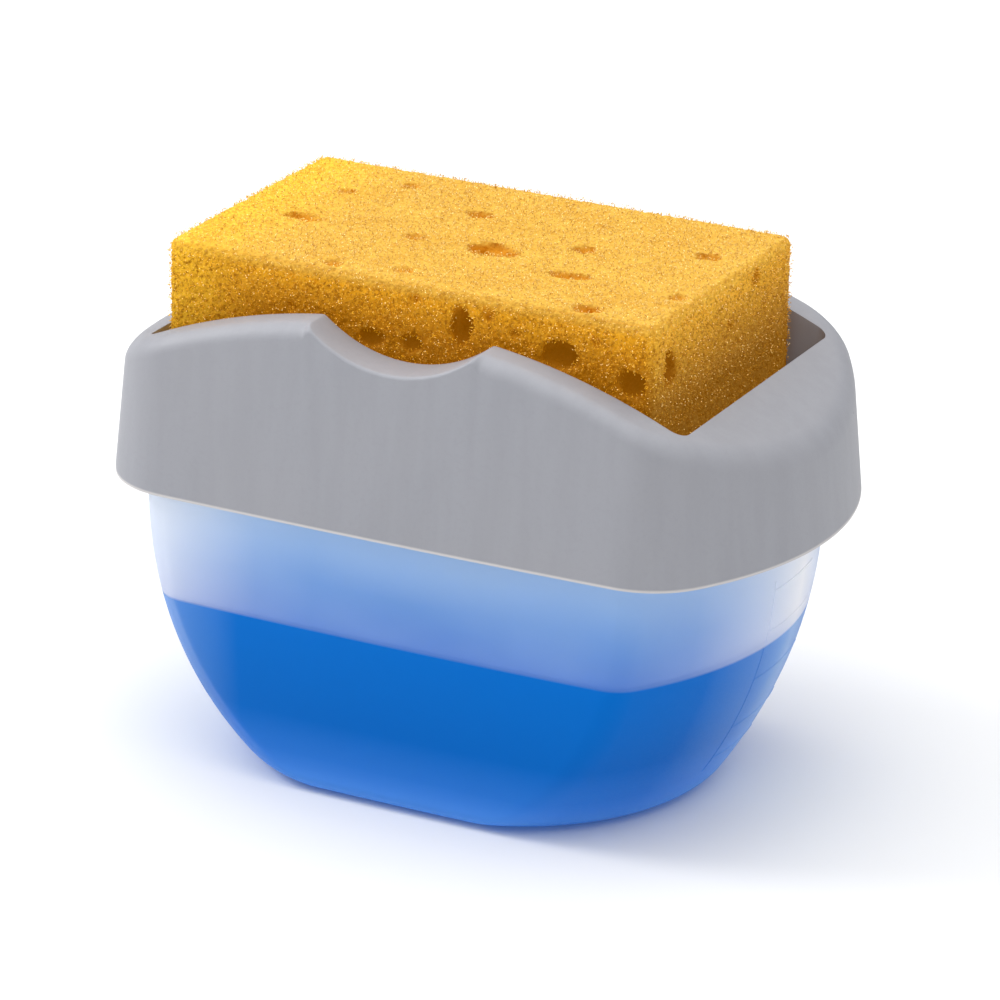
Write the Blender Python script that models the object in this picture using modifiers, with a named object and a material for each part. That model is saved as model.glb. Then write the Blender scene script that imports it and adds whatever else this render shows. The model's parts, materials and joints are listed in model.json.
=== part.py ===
"""Countertop soap dispenser with a sponge holder.

A frosted reservoir stands on four pads and holds the liquid soap. A moulded holder cover closes
it: an outer skirt, an arched deck with a finger notch in each long side, and a well for the
sponge. Under the sponge a sprung plate works a piston pump that hangs through the well's sump.
Metres, +Z up, +X along the long side, origin on the table under the middle of the base.
"""
import math

import bmesh
import bpy
from mathutils import Vector

# Gaps
SEAT_GAP = 0.0003
RUN_GAP = 0.0003
CUT_OVERRUN = 0.002

# Pads under the base
PAD_RADIUS = 0.006
PAD_HEIGHT = 0.0014
PAD_RECESS = 0.0009
PAD_EDGE = 0.0003
PAD_END_INSET = 0.022
PAD_SIDE_INSET = 0.0204

# Reservoir
BOWL_DEPTH = 0.0622
BOWL_WALL = 0.0018
BOWL_END_INSET = 0.0084
BOWL_SIDE_RADIUS = 1.510
BOWL_CORNER_RADIUS = 0.008
BOWL_CORNER_INSET = 0.0196996
BASE_END_DRAW_IN = 0.0196
BASE_SIDE_DRAW_IN = 0.0037
BASE_SIDE_RADIUS = 1.400
BASE_CORNER_RADIUS = 0.012
BASE_CORNER_INSET = 0.0348682
BASE_FILLET = 0.003
BOWL_LENGTH_POWER = 2.28
BOWL_WIDTH_POWER = 2.05
BOWL_LEVEL_POWER = 1.35
SLOPE_STEP_SHARE = 0.01
NECK_GAP = 0.0004
NECK_HEADROOM = 0.0104584
LEDGE_RISE = 0.0022
LEDGE_BEND_RISE = 0.0008
LEDGE_BEND_SHARE = 0.12

# Liquid soap
LIQUID_DROP = 0.0239
LIQUID_WALL_GAP = 0.0005
LIQUID_PUMP_GAP = 0.0005

# Gasket on the reservoir's rim
RIM_GASKET_THICKNESS = 0.0015
RIM_GASKET_MARGIN = 0.0001

# Holder cover
COVER_END_DECK = 0.0178
COVER_SIDE_DECK = 0.0124
COVER_SIDE_RADIUS = 2.090
COVER_CORNER_RADIUS = 0.019
COVER_CORNER_INSET = 0.0277452
COVER_WALL = 0.0020
COVER_FIT_GAP = 0.0003
COVER_DRAFT = math.tan(math.radians(5.4))
COVER_EDGE_FILLET = 0.0036
ARCH_HEIGHT = 0.0435
ARCH_DROP = 0.0230416
NOTCH_HALF_WIDTH = 0.0195
NOTCH_DEPTH = 0.0071
NOTCH_EDGE_FILLET = 0.0036
GUSSET_THICKNESS = 0.0016
GUSSET_SIDE_INSET = 0.0282
GUSSET_END_INSET = 0.018

# Well for the sponge, with the sump that carries the pump
WELL_END_ROOM = 0.0068
WELL_SIDE_ROOM = 0.0022
WELL_CORNER_RADIUS = 0.003
WELL_FLOOR_RISE = 0.0070
SUMP_RADIUS = 0.019
SUMP_DEPTH = 0.009

# Press plate
STROKE = 0.007
PLATE_SIDE_GAP = 0.0006
PLATE_FLOOR_GAP = 0.0004
PLATE_SKIRT = 0.0020
PLATE_SKIRT_THICKNESS = 0.0016
PLATE_THICKNESS = 0.0018
RIBS_BESIDE_MIDDLE = 3
RIB_HEIGHT = 0.0008
RIB_WIDTH = 0.0016
RIB_END_MARGIN = 0.004
RIB_SIDE_MARGIN = 0.0054
RIB_HUB_MARGIN = 0.002
SLOTS_IN_ROW = 4
SLOT_WIDTH = 0.0024
SLOT_END_MARGIN = 0.01235
SLOT_BRIDGE = 0.0075
HUB_RADIUS = 0.0055
HUB_POCKET_WALL = 0.0013
HUB_GUIDE_GAP = 0.0005
HUB_SHOULDER = 0.0010
HUB_PORT_RADIUS = 0.0018

# Nozzle cap and its outlet valve
CAP_RADIUS = 0.0070
CAP_RECESS = 0.0024
CAP_DOME = 0.0007
CAP_TOP_THICKNESS = 0.0015
CAP_EDGE = 0.0008
VALVE_RADIUS = 0.0042
VALVE_FLANGE_THICKNESS = 0.0009
VALVE_NOSE_RADIUS = 0.0023
VALVE_NOSE_HOLLOW = 0.0014
VALVE_NOSE_DROP = 0.0004

# Pump housing, its gasket and nut
BORE_RADIUS = 0.0074
BORE_DEPTH = 0.0290
BARREL_WALL = 0.0014
NECK_WALL = 0.0025
BARREL_NECK_LENGTH = 0.0106
FLANGE_RADIUS = 0.0140
FLANGE_THICKNESS = 0.0016
PUMP_GASKET_THICKNESS = 0.0010
PUMP_HOLE_GAP = 0.0004
NUT_HEIGHT = 0.0050
NUT_WALL = 0.0042
NUT_GRIP_DEPTH = 0.0007

# Stem guide that closes the housing's mouth
GUIDE_FLANGE_RADIUS = 0.0095
GUIDE_FLANGE_THICKNESS = 0.0012
GUIDE_PLUG_DEPTH = 0.0050
GUIDE_WALL = 0.0012

# Piston
STEM_RADIUS = 0.0030
STEM_BORE_RADIUS = 0.0016
STEM_FLANGE_RADIUS = 0.0050
STEM_FLANGE_THICKNESS = 0.0012
SEAL_HEIGHT = 0.0030
SEAL_LIP_DEPTH = 0.0012
SEAL_LIP_THICKNESS = 0.0008

# Return spring
SPRING_WIRE_RADIUS = 0.0004
SPRING_MEAN_RADIUS = 0.0060
SPRING_END_PITCH = 0.0013
SPRING_TURNS = 6.5
SPRING_POINTS_PER_TURN = 9

# Inlet valve and dip tube
CAGE_THICKNESS = 0.0010
CAGE_HOLE_RADIUS = 0.0016
CAGE_SLOT_WIDTH = 0.0012
CAGE_SLOT_REACH = 0.0046
BALL_RADIUS = 0.0024
BALL_LIFT = 0.0012
CHAMBER_RADIUS = 0.0032
SEAT_BORE_RADIUS = 0.0014
SEAT_DEPTH = 0.0027
SEAT_BORE_LENGTH = 0.0015
TAIL_WALL = 0.00125
TAIL_TAPER = 0.0045
TUBE_RADIUS = 0.00275
TUBE_WALL = 0.00085
TUBE_SOCKET_DEPTH = 0.0060
TUBE_FLOOR_GAP = 0.0030
TUBE_END_SLANT = 0.0020

# Sponge
SPONGE_HALF_LENGTH = 0.0554
SPONGE_HALF_WIDTH = 0.0338
SPONGE_HEIGHT = 0.0325
SPONGE_EDGE_RADIUS = 0.0015
SPONGE_SHIFT_X = -0.0010
SPONGE_PORE_RADIUS = 0.0030
# Each pore: the place of its centre as shares of the half length, half width and half height,
# then its three radii as shares of the pore radius
SPONGE_PORE_SHARES = (
    (0.21, -1.0, 0.52, 0.75, 0.9, 1.4),
    (0.63, -1.0, 0.39, 1.2, 1.0, 1.0),
    (0.90, -1.0, 0.18, 1.0, 0.9, 0.9),
    (-0.16, -1.0, 0.13, 0.6, 0.6, 0.5),
    (1.0, -0.75, 0.28, 0.7, 0.6, 1.4),
    (1.0, 0.45, 0.70, 0.6, 0.6, 0.7),
    (0.08, -0.17, 1.0, 1.75, 0.9, 0.9),
    (-0.15, 0.40, 1.0, 1.0, 0.5, 0.6),
    (0.69, -0.87, 1.0, 1.0, 0.6, 0.6),
    (-0.72, -0.18, 1.0, 1.4, 0.6, 0.7),
    (0.82, 0.37, 1.0, 0.7, 0.7, 0.6),
    (-0.50, 1.0, 0.30, 1.1, 0.9, 1.0),
    (0.35, 1.0, 0.50, 0.8, 0.8, 0.9),
    (-1.0, 0.25, 0.45, 0.8, 0.8, 1.2),
)

# Facets
END_STEPS = 5
CORNER_STEPS = 3
SIDE_STEPS = 3
NOTCH_STEPS = 4
FILLET_STEPS = 3
BOWL_STEPS = 6
TURN_STEPS = 28
SMALL_TURN_STEPS = 20
SMOOTH_ANGLE = math.radians(35)

# Levels worked out from the sizes above, from the table up
BASE_Z = PAD_HEIGHT + SEAT_GAP - PAD_RECESS
COVER_Z = BASE_Z + BOWL_DEPTH
RIM_Z = COVER_Z + ARCH_HEIGHT - ARCH_DROP - NECK_HEADROOM
GASKET_TOP_Z = RIM_Z + SEAT_GAP + RIM_GASKET_THICKNESS
LIQUID_Z = COVER_Z - LIQUID_DROP
ARCH_TOP_Z = COVER_Z + ARCH_HEIGHT
WELL_FLOOR_Z = COVER_Z + WELL_FLOOR_RISE
SUMP_Z = WELL_FLOOR_Z - SUMP_DEPTH
PLATE_BOTTOM_Z = WELL_FLOOR_Z + PLATE_FLOOR_GAP + STROKE
PLATE_UNDER_Z = PLATE_BOTTOM_Z + PLATE_SKIRT
PLATE_TOP_Z = PLATE_UNDER_Z + PLATE_THICKNESS
RIB_TOP_Z = PLATE_TOP_Z + RIB_HEIGHT
SPONGE_Z = RIB_TOP_Z + SEAT_GAP
PUMP_GASKET_Z = SUMP_Z + SEAT_GAP
FLANGE_Z = PUMP_GASKET_Z + PUMP_GASKET_THICKNESS + SEAT_GAP
HOUSING_TOP_Z = FLANGE_Z + FLANGE_THICKNESS
GUIDE_Z = HOUSING_TOP_Z + SEAT_GAP
GUIDE_TOP_Z = GUIDE_Z + GUIDE_FLANGE_THICKNESS
GUIDE_END_Z = HOUSING_TOP_Z - GUIDE_PLUG_DEPTH
SEAL_TOP_Z = GUIDE_END_Z - SEAT_GAP
SEAL_Z = SEAL_TOP_Z - SEAL_HEIGHT
STEM_FLANGE_TOP_Z = SEAL_Z - SEAT_GAP
STEM_Z = STEM_FLANGE_TOP_Z - STEM_FLANGE_THICKNESS
HUB_Z = GUIDE_TOP_Z + STROKE + HUB_GUIDE_GAP
CAP_Z = PLATE_TOP_Z - CAP_RECESS
POCKET_Z = CAP_Z - SEAT_GAP
STEM_TOP_Z = POCKET_Z - HUB_SHOULDER - SEAT_GAP
CAP_TOP_Z = PLATE_TOP_Z + CAP_DOME
BORE_END_Z = HOUSING_TOP_Z - BORE_DEPTH
CAGE_Z = BORE_END_Z + SEAT_GAP
CAGE_TOP_Z = CAGE_Z + CAGE_THICKNESS
SPRING_Z = CAGE_TOP_Z + SEAT_GAP + SPRING_WIRE_RADIUS
SPRING_TOP_Z = STEM_Z - SEAT_GAP - SPRING_WIRE_RADIUS
NUT_TOP_Z = SUMP_Z - COVER_WALL - SEAT_GAP
BALL_Z = CAGE_Z - RUN_GAP - BALL_LIFT - BALL_RADIUS
SEAT_HALF_ANGLE = math.atan2(CHAMBER_RADIUS - SEAT_BORE_RADIUS, SEAT_DEPTH)
SEAT_APEX_Z = BALL_Z - (BALL_RADIUS + SEAT_GAP) / math.sin(SEAT_HALF_ANGLE)
SEAT_TOP_Z = SEAT_APEX_Z + CHAMBER_RADIUS / math.tan(SEAT_HALF_ANGLE)
SEAT_Z = SEAT_TOP_Z - SEAT_DEPTH
SOCKET_Z = SEAT_Z - SEAT_BORE_LENGTH
TUBE_TOP_Z = SOCKET_Z - SEAT_GAP
TAIL_Z = SOCKET_Z - TUBE_SOCKET_DEPTH
TUBE_Z = BASE_Z + BOWL_WALL + TUBE_FLOOR_GAP

# Widths worked out from the sizes above, from the sponge out to the base
WELL_HALF_LENGTH = SPONGE_HALF_LENGTH + WELL_END_ROOM
WELL_HALF_WIDTH = SPONGE_HALF_WIDTH + WELL_SIDE_ROOM
COVER_HALF_LENGTH = WELL_HALF_LENGTH + COVER_END_DECK
COVER_HALF_WIDTH = WELL_HALF_WIDTH + COVER_SIDE_DECK
ARCH_RADIUS = (COVER_HALF_LENGTH**2 + ARCH_DROP**2) / (2 * ARCH_DROP)
GUSSET_SIDE_PLACE = WELL_HALF_LENGTH - GUSSET_SIDE_INSET
GUSSET_END_PLACE = WELL_HALF_WIDTH - GUSSET_END_INSET
BOWL_HALF_LENGTH = COVER_HALF_LENGTH - BOWL_END_INSET
BOWL_HALF_WIDTH = COVER_HALF_WIDTH - COVER_WALL - COVER_FIT_GAP
BASE_HALF_LENGTH = BOWL_HALF_LENGTH - BASE_END_DRAW_IN
BASE_HALF_WIDTH = BOWL_HALF_WIDTH - BASE_SIDE_DRAW_IN
PAD_PLACE_X = BASE_HALF_LENGTH - PAD_END_INSET
PAD_PLACE_Y = BASE_HALF_WIDTH - PAD_SIDE_INSET
BARREL_RADIUS = BORE_RADIUS + BARREL_WALL
BARREL_NECK_RADIUS = BORE_RADIUS + NECK_WALL
PUMP_HOLE_RADIUS = BARREL_NECK_RADIUS + PUMP_HOLE_GAP
POCKET_RADIUS = CAP_RADIUS + SEAT_GAP
STEM_HOLE_RADIUS = STEM_RADIUS + RUN_GAP
TUBE_SOCKET_RADIUS = TUBE_RADIUS + SEAT_GAP
TAIL_RADIUS = TUBE_SOCKET_RADIUS + TAIL_WALL
PLATE_HALF_LENGTH = WELL_HALF_LENGTH - PLATE_SIDE_GAP
PLATE_HALF_WIDTH = WELL_HALF_WIDTH - PLATE_SIDE_GAP
PLATE_CORNER_RADIUS = WELL_CORNER_RADIUS - PLATE_SIDE_GAP
RIB_PITCH = (PLATE_HALF_WIDTH - RIB_SIDE_MARGIN) / RIBS_BESIDE_MIDDLE
SLOT_PITCH = (2 * (PLATE_HALF_LENGTH - SLOT_END_MARGIN) + SLOT_BRIDGE) / SLOTS_IN_ROW
SLOT_LENGTH = SLOT_PITCH - SLOT_BRIDGE


def clear_scene():
    """Remove every object of the open scene."""
    for item in list(bpy.data.objects):
        bpy.data.objects.remove(item, do_unlink=True)


def new_collection(name):
    """Add a collection to the scene."""
    group = bpy.data.collections.new(name)
    bpy.context.scene.collection.children.link(group)
    return group


def new_material(name, color, roughness, metallic=0.0, alpha=1.0):
    """A Principled material of one colour."""
    material = bpy.data.materials.new(name)
    material.use_nodes = True
    shader = material.node_tree.nodes["Principled BSDF"]
    shader.inputs["Base Color"].default_value = (*color, 1.0)
    shader.inputs["Roughness"].default_value = roughness
    shader.inputs["Metallic"].default_value = metallic
    shader.inputs["Alpha"].default_value = alpha
    material.diffuse_color = (*color, alpha)
    return material


def add_object(name, bm, material=None, place=(0, 0, 0)):
    """Turn a bmesh into a named part, or into a cutter where it has no material."""
    mesh = bpy.data.meshes.new(name)
    bm.to_mesh(mesh)
    bm.free()
    item = bpy.data.objects.new(name, mesh)
    item.location = place
    if material is None:
        CUTTERS.objects.link(item)
        item.hide_render = True
        item.display_type = "WIRE"
        return item
    mesh.materials.append(material)
    mesh.shade_smooth()
    mesh.set_sharp_from_angle(angle=SMOOTH_ANGLE)
    PARTS.objects.link(item)
    return item


def boolean(item, tool, operation):
    """Cut a part by a tool, or join the tool to it."""
    modifier = item.modifiers.new(tool.name, "BOOLEAN")
    modifier.solver = "EXACT"
    modifier.operation = operation
    modifier.object = tool


def loft(rings, close_ends=False, close_loop=False):
    """Skin a list of rings that have the same number of points."""
    bm = bmesh.new()
    rows = [[bm.verts.new(point) for point in ring] for ring in rings]
    pairs = list(zip(rows, rows[1:]))
    if close_loop:
        pairs.append((rows[-1], rows[0]))
    for low, high in pairs:
        for i in range(len(low)):
            j = (i + 1) % len(low)
            bm.faces.new((low[i], low[j], high[j], high[i]))
    if close_ends:
        bm.faces.new(list(reversed(rows[0])))
        bm.faces.new(rows[-1])
    return bm


def mirrored_ring(quarter):
    """Complete a ring from its first quarter, which runs from +X to +Y."""
    half = quarter + [(-x, y, -nx, ny) for x, y, nx, ny in reversed(quarter[:-1])]
    return half + [(x, -y, nx, -ny) for x, y, nx, ny in reversed(half[1:-1])]


def bowed_outline(length, width, end_radius, side_radius, corner_radius, split=0, split_steps=0):
    """An outline of tangent arcs, as x, y and outward normal. The side has its own points up to split."""
    side = Vector((0, width - side_radius))
    end = Vector((length - end_radius, 0))
    to_side = side_radius - corner_radius
    to_end = end_radius - corner_radius
    span = (end - side).length
    toward = (end - side) / span
    along = (to_side**2 - to_end**2 + span**2) / (2 * span)
    across = math.sqrt(max(to_side**2 - along**2, 0))
    corner = side + toward * along + Vector((toward.y, -toward.x)) * across
    end_angle = math.atan2(corner.y - end.y, corner.x - end.x)
    side_angle = math.atan2(corner.y - side.y, corner.x - side.x)
    quarter = []
    for i in range(END_STEPS):
        angle = end_angle * i / END_STEPS
        quarter.append(arc_point(end, end_radius, angle))
    for i in range(CORNER_STEPS):
        angle = end_angle + (side_angle - end_angle) * i / CORNER_STEPS
        quarter.append(arc_point(corner, corner_radius, angle))
    start = side.x + side_radius * math.cos(side_angle)
    for x in side_places(start, split, split_steps):
        quarter.append(arc_point(side, side_radius, math.acos((x - side.x) / side_radius)))
    return mirrored_ring(quarter)


def square_outline(length, width, corner_radius, split=0, split_steps=0):
    """A rounded rectangle with the same count of points as a bowed outline."""
    quarter = []
    for i in range(END_STEPS):
        quarter.append((length, (width - corner_radius) * i / END_STEPS, 1, 0))
    corner = Vector((length - corner_radius, width - corner_radius))
    for i in range(CORNER_STEPS):
        quarter.append(arc_point(corner, corner_radius, math.pi / 2 * i / CORNER_STEPS))
    for x in side_places(corner.x, split, split_steps):
        quarter.append((x, width, 0, 1))
    return mirrored_ring(quarter)


def side_places(start, split, split_steps):
    """Places along a long side, from its corner to the split and on to the middle."""
    places = [start + (split - start) * i / SIDE_STEPS for i in range(SIDE_STEPS)]
    if not split_steps:
        return places + [0]
    return places + [split * (1 - i / split_steps) for i in range(split_steps + 1)]


def arc_point(centre, radius, angle):
    """A point of an arc with its outward normal."""
    nx, ny = math.cos(angle), math.sin(angle)
    return centre.x + radius * nx, centre.y + radius * ny, nx, ny


def level_ring(outline, inset, z):
    """The outline drawn in by an inset, at one level."""
    return [(x - nx * inset, y - ny * inset, z) for x, y, nx, ny in outline]


def circle_ring(radius, z, steps, slant=0):
    """A circle about the pump's axis. Its level rises by slant from -X to +X."""
    ring = []
    for i in range(steps):
        angle = 2 * math.pi * i / steps
        lift = slant * (1 + math.cos(angle)) / 2
        ring.append((radius * math.cos(angle), radius * math.sin(angle), z + lift))
    return ring


def box(bm, low, high):
    """Add a box between two corners."""
    made = bmesh.ops.create_cube(bm, size=1)["verts"]
    size = [b - a for a, b in zip(low, high)]
    middle = [(a + b) / 2 for a, b in zip(low, high)]
    bmesh.ops.scale(bm, vec=size, verts=made)
    bmesh.ops.translate(bm, vec=middle, verts=made)


def turned(name, profile, material=None, steps=TURN_STEPS):
    """Turn a profile of radius and level about Z. It runs down its outer side."""
    bm = bmesh.new()
    verts = [bm.verts.new((radius, 0, z)) for radius, z in profile]
    for a, b in zip(verts, verts[1:]):
        bm.edges.new((a, b))
    if profile[0][0] > 0:
        bm.edges.new((verts[-1], verts[0]))
    item = add_object(name, bm, material)
    screw = item.modifiers.new("Turn", "SCREW")
    screw.steps = steps
    screw.render_steps = steps
    screw.use_merge_vertices = True
    screw.merge_threshold = SEAT_GAP / 100
    return item


def solidify(item, thickness, offset):
    """Give an open surface its wall."""
    modifier = item.modifiers.new("Wall", "SOLIDIFY")
    modifier.thickness = thickness
    modifier.offset = offset
    modifier.use_even_offset = True


def end_radius(length, width, corner_inset, side_radius, corner_radius):
    """The end arc that meets a corner arc whose centre lies an inset in from the end."""
    x = length - corner_inset
    y = width - side_radius + math.sqrt((side_radius - corner_radius) ** 2 - x**2)
    return (corner_inset**2 + y**2 - corner_radius**2) / (2 * (corner_inset - corner_radius))


def bowl_outline(z):
    """The reservoir's outside at a level: rounder and shorter towards the base."""
    down = (COVER_Z - z) / BOWL_DEPTH
    long_fall = down**BOWL_LENGTH_POWER
    wide_fall = down**BOWL_WIDTH_POWER
    top_radius = end_radius(
        BOWL_HALF_LENGTH, BOWL_HALF_WIDTH, BOWL_CORNER_INSET, BOWL_SIDE_RADIUS,
        BOWL_CORNER_RADIUS)
    base_radius = end_radius(
        BASE_HALF_LENGTH, BASE_HALF_WIDTH, BASE_CORNER_INSET, BASE_SIDE_RADIUS,
        BASE_CORNER_RADIUS)
    return bowed_outline(
        BOWL_HALF_LENGTH + (BASE_HALF_LENGTH - BOWL_HALF_LENGTH) * long_fall,
        BOWL_HALF_WIDTH + (BASE_HALF_WIDTH - BOWL_HALF_WIDTH) * wide_fall,
        top_radius + (base_radius - top_radius) * long_fall,
        BOWL_SIDE_RADIUS + (BASE_SIDE_RADIUS - BOWL_SIDE_RADIUS) * wide_fall,
        BOWL_CORNER_RADIUS + (BASE_CORNER_RADIUS - BOWL_CORNER_RADIUS) * wide_fall)


def bowl_ring(z, inset, draw_in=0):
    """A ring an inset inside the bowl's wall, measured square to the wall, then drawn in more."""
    step = BOWL_DEPTH * SLOPE_STEP_SHARE
    ring = []
    for (x, y, nx, ny), (x2, y2, _, _) in zip(bowl_outline(z), bowl_outline(z - step)):
        slope = ((x - x2) * nx + (y - y2) * ny) / step
        move = inset * math.hypot(1, slope) + draw_in
        ring.append((x - nx * move, y - ny * move, z))
    return ring


def bowl_rings(inset, top_z):
    """Rings from the flat of the base, round its fillet and up to a level."""
    floor_z = BASE_Z + inset
    fillet = BASE_FILLET
    rings = []
    for i in range(FILLET_STEPS):
        angle = math.pi / 2 * i / FILLET_STEPS
        z = floor_z + fillet * (1 - math.cos(angle))
        rings.append(bowl_ring(z, inset, fillet * (1 - math.sin(angle))))
    for i in range(BOWL_STEPS + 1):
        share = (i / BOWL_STEPS) ** BOWL_LEVEL_POWER
        rings.append(bowl_ring(floor_z + fillet + (top_z - floor_z - fillet) * share, inset))
    return rings


def neck_ring(inset, z):
    """A ring that follows the cover's skirt on its inside, at one level."""
    inset += COVER_WALL + NECK_GAP + (z - COVER_Z) * COVER_DRAFT
    return level_ring(cover_outline(), inset, z)


def make_reservoir(material):
    """The bowl, the ledge under the cover and the neck up to the rim, as one wall."""
    rings = bowl_rings(0, COVER_Z)
    ledge = neck_ring(0, COVER_Z + LEDGE_RISE)
    bend = []
    for a, b in zip(rings[-1], ledge):
        x = a[0] + (b[0] - a[0]) * LEDGE_BEND_SHARE
        y = a[1] + (b[1] - a[1]) * LEDGE_BEND_SHARE
        bend.append((x, y, COVER_Z + LEDGE_BEND_RISE))
    rings += [bend, ledge, neck_ring(0, RIM_Z)]
    bm = loft(rings)
    bm.verts.ensure_lookup_table()
    bm.faces.new([bm.verts[i] for i in reversed(range(len(rings[0])))])
    item = add_object("reservoir", bm, material)
    solidify(item, BOWL_WALL, -1)
    bm = bmesh.new()
    for x, y in pad_places():
        pocket = bmesh.ops.create_cone(
            bm, cap_ends=True, segments=SMALL_TURN_STEPS, radius1=PAD_RADIUS + SEAT_GAP,
            radius2=PAD_RADIUS + SEAT_GAP, depth=2 * PAD_RECESS)
        bmesh.ops.translate(bm, vec=(x, y, BASE_Z), verts=pocket["verts"])
    boolean(item, add_object("pad_pockets", bm), "DIFFERENCE")
    return item


def pad_places():
    """Middles of the four pads, front left first."""
    return [(sx * PAD_PLACE_X, sy * PAD_PLACE_Y) for sy in (-1, 1) for sx in (-1, 1)]


def make_pads(material):
    """Four silicone pads, each in its pocket."""
    names = ("pad_front_left", "pad_front_right", "pad_rear_left", "pad_rear_right")
    for name, (x, y) in zip(names, pad_places()):
        bm = bmesh.new()
        bmesh.ops.create_cone(
            bm, cap_ends=True, segments=SMALL_TURN_STEPS, radius1=PAD_RADIUS - PAD_EDGE,
            radius2=PAD_RADIUS, depth=PAD_HEIGHT)
        add_object(name, bm, material, (x, y, PAD_HEIGHT / 2))


def make_liquid(material):
    """The soap, clear of the wall, with room round the pump and the dip tube."""
    rings = bowl_rings(BOWL_WALL + LIQUID_WALL_GAP, LIQUID_Z)
    item = add_object("liquid_soap", loft(rings, close_ends=True), material)
    gap = LIQUID_PUMP_GAP
    tail = TAIL_RADIUS + gap
    tube = TUBE_RADIUS + gap
    room = turned("pump_room", (
        (0, LIQUID_Z + CUT_OVERRUN),
        (BARREL_RADIUS + gap, LIQUID_Z + CUT_OVERRUN),
        (BARREL_RADIUS + gap, SEAT_Z + TAIL_TAPER - gap),
        (tail, SEAT_Z - gap),
        (tail, TAIL_Z - gap),
        (tube, TAIL_Z - gap),
        (tube, TUBE_Z - gap),
        (0, TUBE_Z - gap),
    ))
    boolean(item, room, "DIFFERENCE")


def make_rim_gasket(material):
    """A flat silicone ring on the rim."""
    under = RIM_Z + SEAT_GAP
    inner = BOWL_WALL - RIM_GASKET_MARGIN
    section = (
        (RIM_GASKET_MARGIN, under), (RIM_GASKET_MARGIN, GASKET_TOP_Z),
        (inner, GASKET_TOP_Z), (inner, under),
    )
    rings = [neck_ring(inset, z) for inset, z in section]
    add_object("rim_gasket", loft(rings, close_loop=True), material)


def deck_height(x):
    """The level of the cover's deck: a shallow arch, dipped by the finger notches."""
    if abs(x) >= NOTCH_HALF_WIDTH:
        return arch_height(x)
    radius = (NOTCH_HALF_WIDTH**2 + NOTCH_DEPTH**2) / (2 * NOTCH_DEPTH)
    lowest = arch_height(NOTCH_HALF_WIDTH) - NOTCH_DEPTH
    return lowest + radius - math.sqrt(radius**2 - x**2)


def arch_height(x):
    """The level of the arch without its notches."""
    return ARCH_TOP_Z - ARCH_RADIUS + math.sqrt(ARCH_RADIUS**2 - x**2)


def fillet_ring(outline, angle):
    """A ring at an angle round the fillet of the deck's outer edge, leaning in by the draft."""
    ring = []
    for x, y, nx, ny in outline:
        fillet = NOTCH_EDGE_FILLET if abs(x) < NOTCH_HALF_WIDTH else COVER_EDGE_FILLET
        draw_in = fillet * (1 - math.cos(angle))
        below = fillet * (1 - math.sin(angle))
        lean = 0
        for _ in range(4):
            z = deck_height(x - nx * (lean + draw_in)) - below
            lean = (z - COVER_Z) * COVER_DRAFT
        ring.append((x - nx * (lean + draw_in), y - ny * (lean + draw_in), z))
    return ring


def cover_end_radius():
    """The radius of the cover's ends."""
    return end_radius(
        COVER_HALF_LENGTH, COVER_HALF_WIDTH, COVER_CORNER_INSET, COVER_SIDE_RADIUS,
        COVER_CORNER_RADIUS)


def cover_outline(split=0, split_steps=0):
    """The cover's lower outline."""
    return bowed_outline(
        COVER_HALF_LENGTH, COVER_HALF_WIDTH, cover_end_radius(), COVER_SIDE_RADIUS,
        COVER_CORNER_RADIUS, split, split_steps)


def make_cover(material):
    """Skirt, arched deck, well, floor and sump as one moulded wall, stiffened by gussets."""
    outside = cover_outline(NOTCH_HALF_WIDTH, NOTCH_STEPS)
    well = square_outline(
        WELL_HALF_LENGTH, WELL_HALF_WIDTH, WELL_CORNER_RADIUS, NOTCH_HALF_WIDTH, NOTCH_STEPS)
    rings = [level_ring(outside, 0, COVER_Z)]
    for i in range(FILLET_STEPS + 1):
        rings.append(fillet_ring(outside, math.pi / 2 * i / FILLET_STEPS))
    well_edge = [(x, y, deck_height(x)) for x, y, nx, ny in well]
    deck_edge = rings[-1]
    middle = []
    for a, b in zip(deck_edge, well_edge):
        x, y = (a[0] + b[0]) / 2, (a[1] + b[1]) / 2
        middle.append((x, y, deck_height(x)))
    rings += [middle, well_edge, level_ring(well, 0, WELL_FLOOR_Z)]
    for radius, z in ((SUMP_RADIUS, WELL_FLOOR_Z), (SUMP_RADIUS, SUMP_Z), (PUMP_HOLE_RADIUS, SUMP_Z)):
        rings.append([sump_point(x, y, radius, z) for x, y, nx, ny in well])
    item = add_object("holder_cover", loft(rings), material)
    solidify(item, COVER_WALL, -1)
    boolean(item, make_gussets(), "UNION")


def sump_point(x, y, radius, z):
    """The point of a round ring that lies across from a point of the well's outline."""
    angle = math.atan2(y / WELL_HALF_WIDTH, x / WELL_HALF_LENGTH)
    return radius * math.cos(angle), radius * math.sin(angle), z


def make_gussets():
    """Upright ribs between the skirt and the well, whose feet stand on the rim gasket."""
    bm = bmesh.new()
    foot = GASKET_TOP_Z + SEAT_GAP
    ends = cover_end_radius()
    for sx in (-1, 1):
        for sy in (-1, 1):
            x = sx * GUSSET_SIDE_PLACE
            reach = COVER_HALF_WIDTH - COVER_SIDE_RADIUS + math.sqrt(COVER_SIDE_RADIUS**2 - x**2)
            outline = gusset_outline(WELL_HALF_WIDTH, reach, foot, arch_height(x))
            gusset(bm, [(x, sy * along, z) for along, z in outline], (GUSSET_THICKNESS, 0, 0))
            y = sy * GUSSET_END_PLACE
            reach = COVER_HALF_LENGTH - ends + math.sqrt(ends**2 - y**2)
            outline = gusset_outline(WELL_HALF_LENGTH, reach, foot, arch_height(reach))
            gusset(bm, [(sx * along, y, z) for along, z in outline], (0, GUSSET_THICKNESS, 0))
    return add_object("gussets", bm)


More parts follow.
